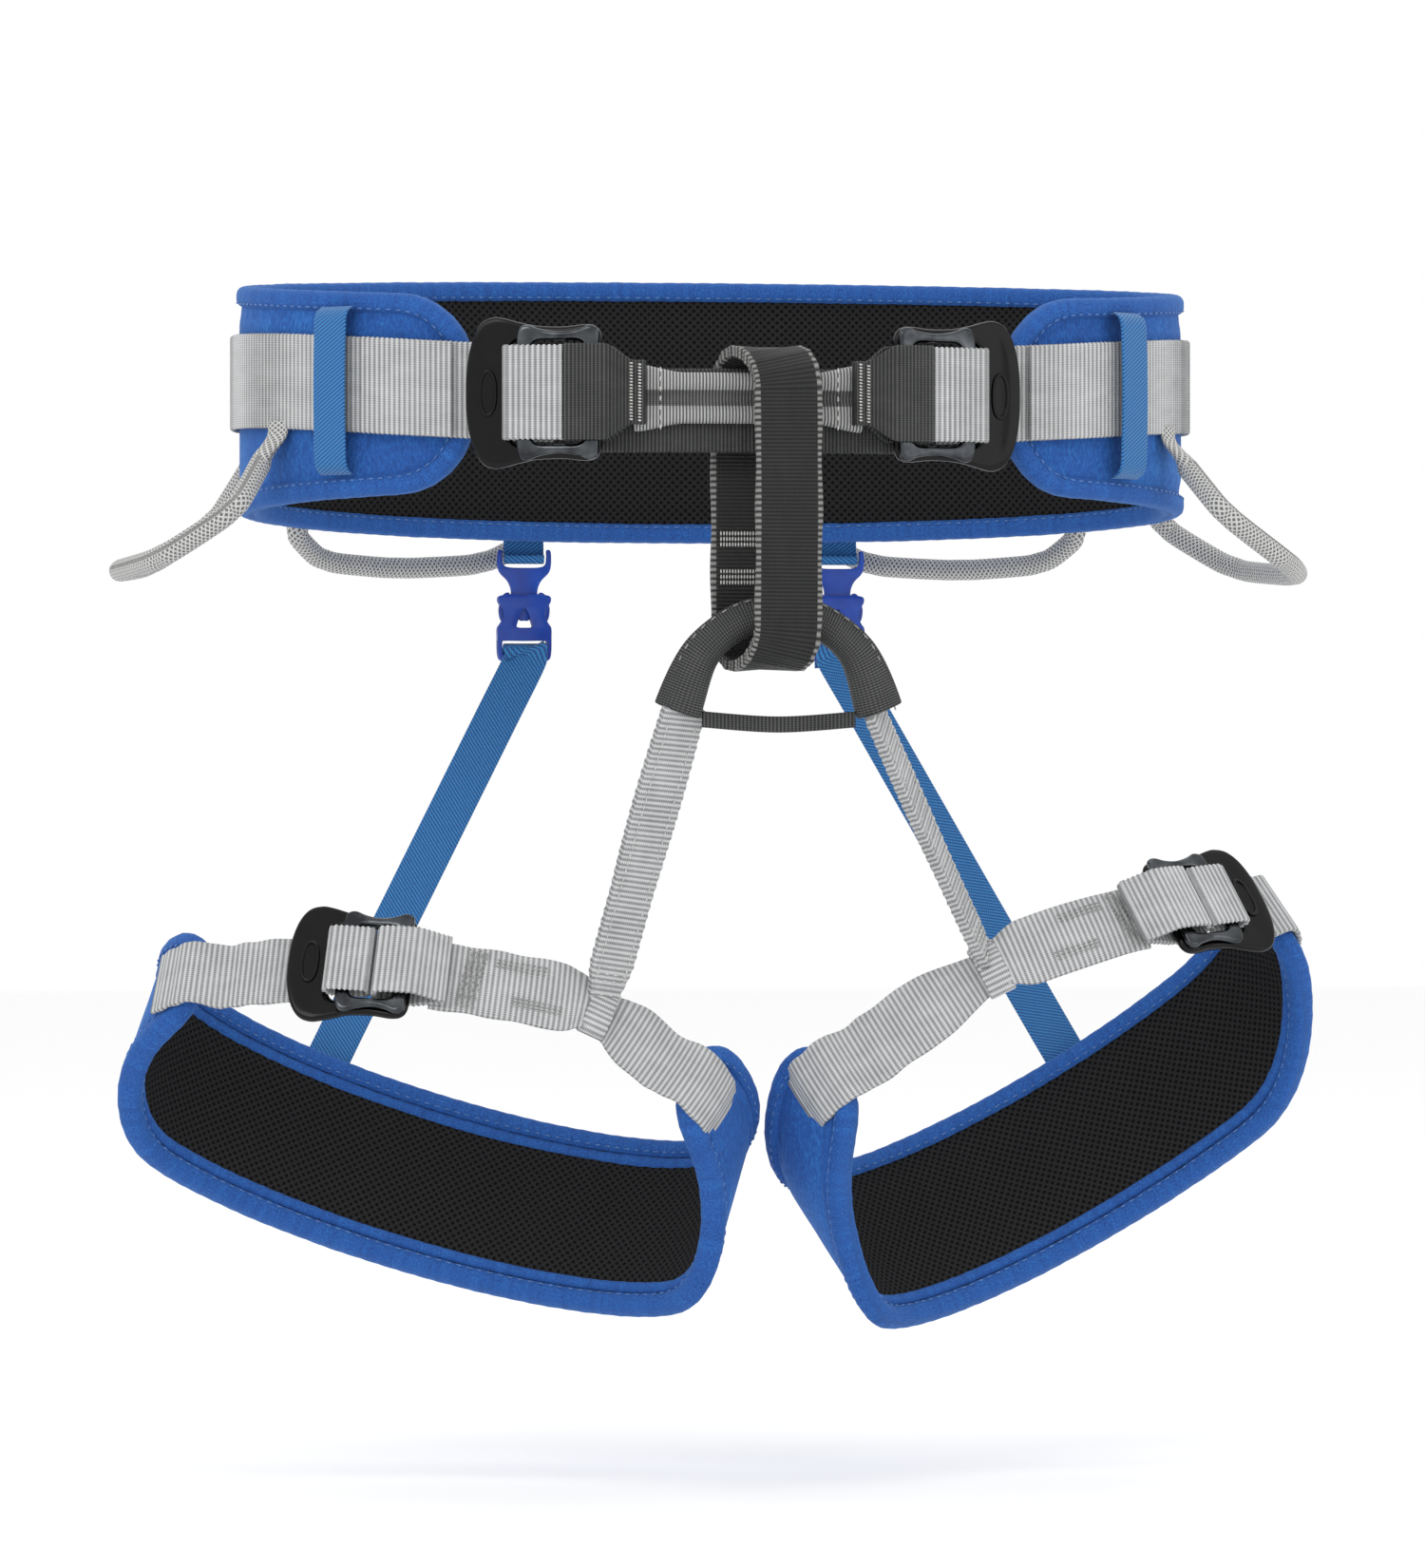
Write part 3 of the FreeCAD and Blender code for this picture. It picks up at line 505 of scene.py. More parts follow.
def loft(name, rings, uvs, material, closed=False):
    """A closed skin over rings of points (millimetres); uvs gives each point's place in millimetres."""
    count = len(rings[0])
    verts = [p * MM for ring in rings for p in ring]
    flat = [uv for ring in uvs for uv in ring]
    faces = []
    corner_uvs = []
    rows = len(rings) if closed else len(rings) - 1
    turn_length = uvs[-1][0][0] + (uvs[1][0][0] - uvs[0][0][0]) if closed else 0.0
    for i in range(rows):
        j = (i + 1) % len(rings)
        for k in range(count):
            n = (k + 1) % count
            faces.append((i * count + k, i * count + n, j * count + n, j * count + k))
            next_row = [flat[j * count + n], flat[j * count + k]]
            if j == 0:
                next_row = [(turn_length, uv[1]) for uv in next_row]
            corner_uvs += [flat[i * count + k], flat[i * count + n]] + next_row
    if not closed:
        for first in (0, (len(rings) - 1) * count):
            cap = list(range(first, first + count))
            faces.append(cap)
            corner_uvs += [flat[v] for v in cap]
    mesh = bpy.data.meshes.new(name)
    mesh.from_pydata(verts, [], faces)
    layer = mesh.uv_layers.new(name="weave")
    for loop, uv in zip(layer.data, corner_uvs):
        loop.uv = uv
    face_out(mesh)
    mesh.polygons.foreach_set("use_smooth", [True] * len(mesh.polygons))
    return link(name, mesh, material)


def travelled(points):
    """How far along this line each of its points is."""
    out = [0.0]
    for a, b in zip(points, points[1:]):
        out.append(out[-1] + (b - a).length)
    return out


def strap_section(width, thick, cells, plies):
    """Points (across, out) round a strap's section: flat faces, rounded edges, a groove between plies."""
    half = width / 2.0
    h = thick / 2.0
    r = min(h, 0.9)
    top = [(mix(half - r, -half + r, i / cells), h) for i in range(cells + 1)]
    edge_points = []
    for ply in range(plies):
        y0 = h - thick * ply / plies
        y1 = h - thick * (ply + 1) / plies
        pr = (y0 - y1) / 2.0
        m = (y0 + y1) / 2.0
        edge_points += [(-half + pr * 0.35, y0 - pr * 0.12), (-half, m + pr * 0.45), (-half, m - pr * 0.45),
                        (-half + pr * 0.35, y1 + pr * 0.12)]
    right = [(-x, y) for x, y in reversed(edge_points)]
    low = [(x, -h) for x, _ in reversed(top)]
    return top + edge_points + low + right


def strap(name, places, width, thick, material, cells=8, closed=False, plies=1, widths=None, cup=0.0):
    """A band along places, each (point, across, out); widths scales its width along the way."""
    base = strap_section(width, thick, cells, plies)
    rings, uvs = [], []
    marks = travelled([place[0] for place in places])
    for i, ((p, across, out), along) in enumerate(zip(places, marks)):
        f = widths(i / (len(places) - 1.0)) if widths else 1.0
        rings.append([p + across * (x * f) + out * (y - cup * (2.0 * x / width) ** 2) for x, y in base])
        uvs.append([(along, x) for x, y in base])
    return loft(name, rings, uvs, material, closed)


def frames(points, across):
    """(point, across, out) along a smooth route; across is one direction, or one for each point."""
    places = []
    for i, p in enumerate(points):
        run = (points[min(i + 1, len(points) - 1)] - points[max(i - 1, 0)]).normalized()
        wide = Vector(across[i] if isinstance(across, list) else across)
        wide = (wide - run * wide.dot(run)).normalized()
        places.append((p, wide, run.cross(wide)))
    return places


def curve_points(points, spacing, closed=False):
    """Evenly spaced points on a smooth Catmull-Rom curve through these."""
    p = [Vector(q) for q in points]
    n = len(p)
    dense = []
    spans = n if closed else n - 1
    for i in range(spans):
        a, b, c, d = ((p[(i + k) % n] if closed else p[min(max(i + k, 0), n - 1)]) for k in (-1, 0, 1, 2))
        for s in range(24):
            t = s / 24.0
            dense.append(0.5 * (2 * b + (c - a) * t + (2 * a - 5 * b + 4 * c - d) * t * t
                                + (3 * b - a - 3 * c + d) * t * t * t))
    dense.append(p[0] if closed else p[-1])
    total = sum((dense[i + 1] - dense[i]).length for i in range(len(dense) - 1))
    count = max(int(total / spacing), 2)
    out, k, passed = [], 0, 0.0
    for i in range(count + (0 if closed else 1)):
        want = total * i / count
        while k < len(dense) - 2 and passed + (dense[k + 1] - dense[k]).length < want:
            passed += (dense[k + 1] - dense[k]).length
            k += 1
        step = (dense[k + 1] - dense[k]).length or 1.0
        out.append(dense[k].lerp(dense[k + 1], min((want - passed) / step, 1.0)))
    return out


RIB_DEPTH = 0.28 * MM


def node_group(name, numbers):
    """A geometry-nodes tree that takes a mesh, these numbers (with their defaults) and a material."""
    tree = bpy.data.node_groups.new(name, "GeometryNodeTree")
    face = tree.interface
    face.new_socket("Geometry", in_out="INPUT", socket_type="NodeSocketGeometry")
    for key, default in numbers.items():
        face.new_socket(key, in_out="INPUT", socket_type="NodeSocketFloat").default_value = default
    face.new_socket("Material", in_out="INPUT", socket_type="NodeSocketMaterial")
    face.new_socket("Geometry", in_out="OUTPUT", socket_type="NodeSocketGeometry")
    return tree, add(tree, "NodeGroupInput").outputs


def given_out(tree, geometry, start):
    """Paints the geometry with the tree's material and gives it out."""
    painted = add(tree, "GeometryNodeSetMaterial", {0: geometry, "Material": start["Material"]})
    add(tree, "NodeGroupOutput", {0: painted.outputs[0]})
    return tree


def ridge_tree():
    """Geometry nodes: raises a webbing's ribs, one every Pitch along its map, Depth high."""
    tree, start = node_group("webbing_ribs", {"Pitch": GREY_RIB, "Depth": RIB_DEPTH})
    along = add(tree, "GeometryNodeInputNamedAttribute", values={"Name": "along"}, data_type="FLOAT")
    turns = maths(tree, "DIVIDE", along.outputs[0], start["Pitch"])
    wave = maths(tree, "SINE", maths(tree, "MULTIPLY", turns, TAU))
    lift = maths(tree, "MULTIPLY", wave, start["Depth"])
    normal = add(tree, "GeometryNodeInputNormal").outputs[0]
    shift = add(tree, "ShaderNodeVectorMath", {0: normal, "Scale": lift}, operation="SCALE").outputs[0]
    moved = add(tree, "GeometryNodeSetPosition", {"Geometry": start[0], "Offset": shift})
    return given_out(tree, moved.outputs[0], start)


def stitch_tree():
    """Geometry nodes: thread stitches of Length with Gap between them along the seam lines."""
    tree, start = node_group("seam_stitches", {"Length": 0.0026, "Gap": 0.0012, "Thickness": 0.0008})
    pitch = maths(tree, "ADD", start["Length"], start["Gap"])
    line = add(tree, "GeometryNodeMeshToCurve", {0: start[0]}).outputs[0]
    spots = add(tree, "GeometryNodeCurveToPoints", {0: line, "Length": pitch}, mode="LENGTH").outputs
    bead = add(tree, "GeometryNodeMeshIcoSphere", values={"Radius": 0.5, "Subdivisions": 1}).outputs[0]
    size = add(tree, "ShaderNodeCombineXYZ", {0: start["Thickness"], 1: start["Thickness"],
                                              2: start["Length"]}).outputs[0]
    placed = add(tree, "GeometryNodeInstanceOnPoints", {0: spots[0], "Instance": bead,
                                                        "Rotation": spots["Rotation"], "Scale": size})
    real = add(tree, "GeometryNodeRealizeInstances", {0: placed.outputs[0]}).outputs[0]
    soft = add(tree, "GeometryNodeSetShadeSmooth", {0: real}).outputs[0]
    return given_out(tree, soft, start)


RIBS = ridge_tree()
STITCHES = stitch_tree()


def grown(obj, tree, values):
    """Runs a geometry-nodes tree on obj and keeps the plain mesh that it gives."""
    modifier = obj.modifiers.new("grow", "NODES")
    modifier.node_group = tree
    for item in tree.interface.items_tree:
        if item.item_type == "SOCKET" and item.in_out == "INPUT" and item.name in values:
            modifier[item.identifier] = values[item.name]
    graph = bpy.context.evaluated_depsgraph_get()
    mesh = bpy.data.meshes.new_from_object(obj.evaluated_get(graph))
    obj.modifiers.remove(modifier)
    obj.data = mesh
    return obj


def ribbed(obj, material, pitch=GREY_RIB):
    """Raises the ribs of a strap; its map says how far along each point is."""
    mesh = obj.data
    along = mesh.attributes.new("along", "FLOAT", "POINT")
    values = [0.0] * len(mesh.vertices)
    layer = mesh.uv_layers["weave"].data
    for loop in mesh.loops:
        values[loop.vertex_index] = layer[loop.index].uv[0]
    along.data.foreach_set("value", values)
    return grown(obj, RIBS, {"Pitch": pitch, "Depth": RIB_DEPTH, "Material": material})


def stitched(name, lines, material, length=2.6, gap=1.2, thick=0.8):
    """One object of stitches along these lines of points (millimetres)."""
    verts, edges = [], []
    for line in lines:
        first = len(verts)
        verts += [p * MM for p in line]
        edges += [(first + i, first + i + 1) for i in range(len(line) - 1)]
    mesh = bpy.data.meshes.new(name)
    mesh.from_pydata(verts, edges, [])
    obj = link(name, mesh)
    return grown(obj, STITCHES, {"Length": length * MM, "Gap": gap * MM, "Thickness": thick * MM,
                                 "Material": material})


def satin(start, end, stroke, pitch=1.0):
    """Stroke lines of a bar tack: short lines along stroke, side by side from start to end."""
    count = max(int((end - start).length / pitch), 2)
    return [[start.lerp(end, i / (count - 1.0)) - stroke / 2.0, start.lerp(end, i / (count - 1.0)),
             start.lerp(end, i / (count - 1.0)) + stroke / 2.0] for i in range(count)]


def plate_ring(name, axes, outer, window, y0, y1, material, radius=1.3, raised=None):
    """A smooth metal plate with one window: outer goes round it, window is its middle, half sizes and corner.
    Both are in the buckle's own plane; raised(x, z) lifts the plate for a formed shape."""
    p, xa, ya, za = axes
    rim = curve_points([(x, 0, z) for x, z in outer], 0.9, closed=True)
    cx, cz, hx, hz, corner = window
    rings, uvs = [], []
    for i, q in enumerate(rim):
        dx, dz = q.x - cx, q.z - cz
        ax, az = abs(dx), abs(dz)
        k = ((ax / hx) ** corner + (az / hz) ** corner) ** (-1.0 / corner)
        inner = (cx + dx * k, cz + dz * k)
        length = math.hypot(q.x - inner[0], q.z - inner[1])
        ring, uv = [], []
        section = []
        r = min(radius, length * 0.45)
        thick = y1 - y0
        rt = min(radius, thick * 0.49)
        for a in steps(0.0, 90.0, 4):
            c, s = math.cos(math.radians(a)), math.sin(math.radians(a))
            section.append((length - r + r * c, y1 - rt + rt * s))
        section += [(length * f, y1) for f in (0.7, 0.5, 0.3) if r < length * f < length - r]
        back = [(length - u, y) for u, y in reversed(section[:4])]
        top = section + back
        section = top + [(u, y0 + y1 - y) for u, y in reversed(top)]
        for u, y in section:
            f = u / length
            x, z = mix(inner[0], q.x, f), mix(inner[1], q.z, f)
            lift = raised(x, z) if raised else 0.0
            ring.append(p + xa * x + ya * (y + lift) + za * z)
            uv.append((i * 0.9, u))
        rings.append(ring)
        uvs.append(uv)
    widest = max(len(ring) for ring in rings)
    for ring, uv in zip(rings, uvs):
        while len(ring) < widest:
            middle = len(ring) // 2
            ring.insert(4, ring[3].lerp(ring[4], 0.5))
            uv.insert(4, uv[3])
            ring.insert(middle + 4, ring[middle + 3].lerp(ring[middle + 4], 0.5))
            uv.insert(middle + 4, uv[middle + 3])
    return loft(name, rings, uvs, material, closed=True)


def mirrored(points):
    """The same points with z turned over, to close a symmetric outline."""
    return points + [(x, -z) for x, z in reversed(points) if abs(z) > 0.01]


def buckle_outline(length, web):
    """Outline of the outer frame, wider at the end away from the middle of the belt."""
    half, h = length / 2.0, web / 2.0 + 11.0
    return mirrored([(-half - 1.3, 0), (-half - 0.8, h * 0.36), (-half + 1.4, h * 0.7),
                     (-half + 5.0, h * 0.92), (-half + 9.6, h - 0.2), (-half + 14.0, h - 0.6),
                     (-half + 20.0, h - 2.2), (0.5, h - 3.6), (half * 0.4, h - 4.0), (half - 7.0, h - 3.2),
                     (half - 2.6, h - 4.0), (half - 0.4, h - 7.0), (half, h - 12.0), (half, h * 0.3),
                     (half, 0)])


def slider_outline(length, web):
    """Outline of the inner frame, waisted so that its four corners stand out."""
    half, h = length / 2.0, web / 2.0 + 7.5
    x0 = -half + SLIDER_START
    return mirrored([(x0, 0), (x0, h * 0.5), (x0 + 0.1, h - 5.0), (x0 + 1.2, h - 1.0), (x0 + 4.4, h + 0.2),
                     (x0 + 9.0, h - 1.4), (mix(x0, half, 0.5), h - 2.4), (half - 9.0, h - 1.6),
                     (half - 4.6, h), (half - 1.6, h - 1.0), (half - 0.9, h - 4.4), (half - 0.9, h * 0.5),
                     (half - 0.9, 0)])


def buckle_plates(tag, axes, length, web, body, slider_body):
    """The outer frame with its oval recess, and the inner frame that slides over it."""
    half = length / 2.0
    middle = (-half + SOLID_BAR + half - THIN_BAR) / 2.0
    reach = (2.0 * half - THIN_BAR - SOLID_BAR) / 2.0
    plate = plate_ring(tag + "_buckle_outer_plate", axes, buckle_outline(length, web),
                       (middle, 0, reach, web / 2.0 + 2.0, 7.0), 0.0, FRAME_T, FRAME_METAL, 1.5,
                       lambda x, z: 0.9 * smooth((-half + 9.0 - x) / 9.0))
    p, xa, ya, za = axes
    rings, uvs = [], []
    for k in range(44):
        a = TAU * k / 44.0
        x, z = -half + 7.6 + 3.1 * math.cos(a), 8.6 * signed_power(math.sin(a), 0.8)
        normal = (xa * math.cos(a) * 2.0 + za * math.sin(a)).normalized()
        q = p + xa * x + za * z + ya * (FRAME_T + 0.35)
        rings.append([q + normal * (0.75 * math.cos(TAU * j / 8)) + ya * (0.55 * math.sin(TAU * j / 8))
                      for j in range(8)])
        uvs.append([(k, j) for j in range(8)])
    lip_obj = loft(tag + "_buckle_recess_lip", rings, uvs, FRAME_METAL, closed=True)
    x0 = -half + SLIDER_START
    inner_middle = (x0 + half) / 2.0
    slide = plate_ring(tag + "_buckle_inner_plate", axes, slider_outline(length, web),
                       (inner_middle - 0.4, 0, (half - x0) / 2.0 - THIN_BAR + 0.4, web / 2.0 + 1.5, 7.0),
                       FRAME_T + GAP, FRAME_T + GAP + SLIDER_T, SLIDER_METAL, 1.4)
    keep(plate, body, "anodised_frame", "%s_buckle_frame_%s" % tuple(tag.split("_")))
    keep(lip_obj, body, "anodised_frame")
    keep(slide, slider_body, "polished_slider", "%s_buckle_slider_%s" % tuple(tag.split("_")))


def crisp(mesh):
    """Smooth faces that stay sharp where they meet at more than 50 degrees."""
    mesh.polygons.foreach_set("use_smooth", [True] * len(mesh.polygons))
    mesh.set_sharp_from_angle(angle=math.radians(50.0))


def moulded(name, origin, outline, holes, thick, material, y_shift=0.0, edge=0.5):
    """A moulded plate facing forwards: outline and holes are (x, z) points round origin."""
    curve = bpy.data.curves.new(name, "CURVE")
    curve.dimensions, curve.fill_mode = "2D", "BOTH"
    curve.extrude, curve.bevel_depth, curve.bevel_resolution = (thick / 2.0 - edge) * MM, edge * MM, 2
    curve.offset = -edge * MM
    for loop in [outline] + list(holes):
        points = curve_points([(x, z, 0) for x, z in loop], 0.45, closed=True)
        spline = curve.splines.new("POLY")
        spline.points.add(len(points) - 1)
        spline.use_cyclic_u = True
        for spot, q in zip(spline.points, points):
            spot.co = (q.x * MM, q.y * MM, 0, 1)
    source = link(name + "_outline", curve)
    graph = bpy.context.evaluated_depsgraph_get()
    mesh = bpy.data.meshes.new_from_object(source.evaluated_get(graph))
    bpy.data.objects.remove(source)
    upright = Matrix.Rotation(math.pi / 2, 4, "X")
    mesh.transform(Matrix.Translation((origin + Vector((0, y_shift, 0))) * MM) @ upright)
    bm = bmesh.new()
    bm.from_mesh(mesh)
    bmesh.ops.remove_doubles(bm, verts=bm.verts, dist=0.000005)
    bmesh.ops.recalc_face_normals(bm, faces=bm.faces)
    bm.to_mesh(mesh)
    bm.free()
    crisp(mesh)
    return link(name, mesh, material)


def both(points):
    """The same outline with x turned over, for a symmetric moulding."""
    return points + [(-x, z) for x, z in reversed(points) if abs(x) > 0.01]


def clip_halves(side_name, side):
    """Side-release clip: a yoke on the belt's tape, two sprung arms, and a body that holds the elastic."""
    origin = Vector((side * CLIP_X, CLIP_Y, CLIP_TOP))
    yoke = both([(0, -7.4), (6.4, -7.2), (8.9, -6.0), (9.4, -3.0), (9.4, -0.2), (10.6, 0.2), (11.4, -1.2),
                 (11.4, -6.5), (10.4, -9.6), (7.4, -12.8), (6.0, -15.6), (5.6, -18.0), (5.5, -20.2),
                 (3.0, -21.4), (2.4, -29.0), (0, -29.8)])
    male = moulded("clip_yoke_" + side_name, origin, yoke, [], 3.0, PLASTIC)
    keep(male, "waist_belt", "blue_plastic", "clip_male_" + side_name)
    for tag, s in (("inner", -side), ("outer", side)):
        node = "clip_prong_%s_%s" % (tag, side_name)
        arm = [(6.2, -18.2), (7.6, -17.9), (9.2, -19.2), (10.3, -22.0), (10.9, -25.5), (10.2, -29.4),
               (8.4, -30.8), (7.0, -30.2), (7.9, -27.4), (8.3, -24.4), (7.6, -21.6), (6.2, -20.0)]
        arm = [(x * s, z) for x, z in arm]
        obj = moulded("clip_arm_%s_%s" % (tag, side_name), origin, arm, [], 3.0, PLASTIC, edge=0.4)
        keep(obj, frame["nodes"][node]["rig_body"], "blue_plastic", node)
    shell = both([(0, -19.0), (2.6, -18.9), (5.0, -18.6), (8.2, -18.8), (10.6, -19.4), (11.3, -20.6),
                  (10.9, -22.4), (9.3, -25.0), (9.0, -28.4), (10.2, -31.0), (11.4, -33.0), (11.5, -37.0),
                  (11.4, -43.0), (10.6, -46.2), (8.0, -47.0), (0, -47.0)])
    window = both([(0, -24.6), (1.6, -27.0), (3.2, -31.4), (3.0, -32.6), (0, -32.8)])
    bar_slot = both([(0, -38.4), (8.4, -38.4), (9.4, -39.2), (9.4, -43.4), (8.4, -44.4), (0, -44.4)])
    parts = []
    for shift in (-2.45, 2.45):
        parts.append(moulded("clip_face", origin, shell, [window, bar_slot], 1.5, PLASTIC, shift, 0.35))
    fillet = both([(0, -34.2), (10.4, -34.2), (11.3, -35.2), (11.3, -37.0), (10.6, -38.0), (0, -38.0)])
    parts.append(moulded("clip_bridge", origin, fillet, [], 4.6, PLASTIC, 0.0, 0.3))
    bm = bmesh.new()
    for obj in parts:
        bm.from_mesh(obj.data)
        bpy.data.objects.remove(obj)
    mesh = bpy.data.meshes.new("clip_body_" + side_name)
    bm.to_mesh(mesh)
    bm.free()
    body = link("clip_body_" + side_name, mesh, PLASTIC)
    crisp(mesh)
    keep(body, "waist_belt", "blue_plastic", "clip_female_" + side_name)


def keep(obj, body, slot, *nodes):
    """Rides on its body and stands for these CAD nodes; slot is not used."""
    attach(obj, body)
    if nodes:
        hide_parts(*nodes)
    return obj


# ---- pads ---------------------------------------------------------------------------------------
STITCH_PUCKER = 7.6                         # the small puckers that edge stitching pulls, peak to peak
SWELL_FRAMES = 12
FACE_STEPS = 720                            # samples along a pad's face, even in angle


class Face:
    """A pad's curved face laid flat: s millimetres along it, z up, offset outwards."""

    def __init__(self, at, first, last, edges):
        self.at, self.edges = at, edges
        self.psi = steps(first, last, FACE_STEPS + 1)
        self.s = [0.0]
        for a, b in zip(self.psi, self.psi[1:]):
            self.s.append(self.s[-1] + (at(b, 0, 0) - at(a, 0, 0)).length)
        self.length = self.s[-1]

    def angle(self, s):
        s = min(max(s, 0.0), self.length)
        low, high = 0, len(self.s) - 1
        while high - low > 1:
            mid = (low + high) // 2
            if self.s[mid] <= s:
                low = mid
            else:
                high = mid
        t = (s - self.s[low]) / (self.s[high] - self.s[low])
        return mix(self.psi[low], self.psi[high], t)

    def point(self, s, z, offset):
        return self.at(self.angle(s), offset, z)

    def outline(self, inset, spacing=2.5):
        """Evenly spaced (s, z) round the pad, this far in from its edge: lower edge first."""
        n = 150
        first, last = self.psi[0], self.psi[-1]
        span = last - first
        shift = inset / self.length * span
        fractions = [0.5 - 0.5 * math.cos(math.pi * i / (n - 1.0)) for i in range(n)]
        psis = [first + shift + (span - 2 * shift) * f for f in fractions]
        low, top = [], []
        for p in psis:
            s = (p - first) / span
            a, b = self.edges(p, inset)
            place = self.s[min(int(round(s * FACE_STEPS)), FACE_STEPS)]
            low.append((place, a))
            top.append((place, b))
        flat = low + top[::-1]
        ring = flat + [flat[0]]
        total = sum(math.dist(a, b) for a, b in zip(ring, ring[1:]))
        count = int(total / spacing)
        out, k, passed = [], 0, 0.0
        for i in range(count):
            want = total * i / count
            while passed + math.dist(ring[k], ring[k + 1]) < want:
                passed += math.dist(ring[k], ring[k + 1])
                k += 1
            step = math.dist(ring[k], ring[k + 1]) or 1.0
            t = (want - passed) / step
            out.append((mix(ring[k][0], ring[k + 1][0], t), mix(ring[k][1], ring[k + 1][1], t)))
        for _ in range(6):
            out = [((out[i - 1][0] + 2 * out[i][0] + out[(i + 1) % count][0]) / 4.0,
                    (out[i - 1][1] + 2 * out[i][1] + out[(i + 1) % count][1]) / 4.0) for i in range(count)]
        return out

    def edge_places(self, inset, offset=PAD_T / 2.0, spacing=2.5):
        """(point, across towards the edge, out) round the pad."""
        flat = self.outline(inset, spacing)
        points = [self.point(s, z, offset) for s, z in flat]
        places = []
        for i, (s, z) in enumerate(flat):
            out = (self.point(s, z, offset + 5.0) - points[i]).normalized()
            run = (points[(i + 1) % len(points)] - points[i - 1]).normalized()
            places.append((points[i], run.cross(out).normalized(), out))
        return places


def swelled(obj, pinned, cap):
    """The stuffing pushes the skins outwards by at most cap mm: cloth under pressure, held at the seams."""
    mesh = obj.data
    rest = [v.co.copy() for v in mesh.vertices]
    normals = [v.normal.copy() for v in mesh.vertices]
    group = obj.vertex_groups.new(name="seam")
    group.add(pinned, 1.0, "REPLACE")
    cloth = obj.modifiers.new("stuffing", "CLOTH")
    cloth.settings.use_pressure = True
    cloth.settings.uniform_pressure_force = 4.0
    cloth.settings.vertex_group_mass = "seam"
    cloth.settings.effector_weights.gravity = 0.0
    cloth.settings.quality = 4
    cloth.settings.tension_stiffness = 5.0
    cloth.settings.compression_stiffness = 5.0
    cloth.point_cache.frame_start = 1
    cloth.point_cache.frame_end = SWELL_FRAMES
    scene = bpy.context.scene
    for frame_number in range(1, SWELL_FRAMES + 1):
        scene.frame_set(frame_number)
    graph = bpy.context.evaluated_depsgraph_get()
    moved = [v.co.copy() for v in obj.evaluated_get(graph).data.vertices]
    obj.modifiers.remove(cloth)
    obj.vertex_groups.clear()
    for v, start, end, normal, limit in zip(mesh.vertices, rest, moved, normals, cap):
        push = (end - start).dot(normal)
        v.co = start + normal * min(max(push, 0.0), limit * MM)
    scene.frame_set(1)


def refined(obj):
    """One round of subdivision, kept as plain mesh."""
    modifier = obj.modifiers.new("soften", "SUBSURF")
    modifier.levels = modifier.render_levels = 1
    graph = bpy.context.evaluated_depsgraph_get()
    mesh = bpy.data.meshes.new_from_object(obj.evaluated_get(graph))
    obj.modifiers.remove(modifier)
    obj.data = mesh
    return obj


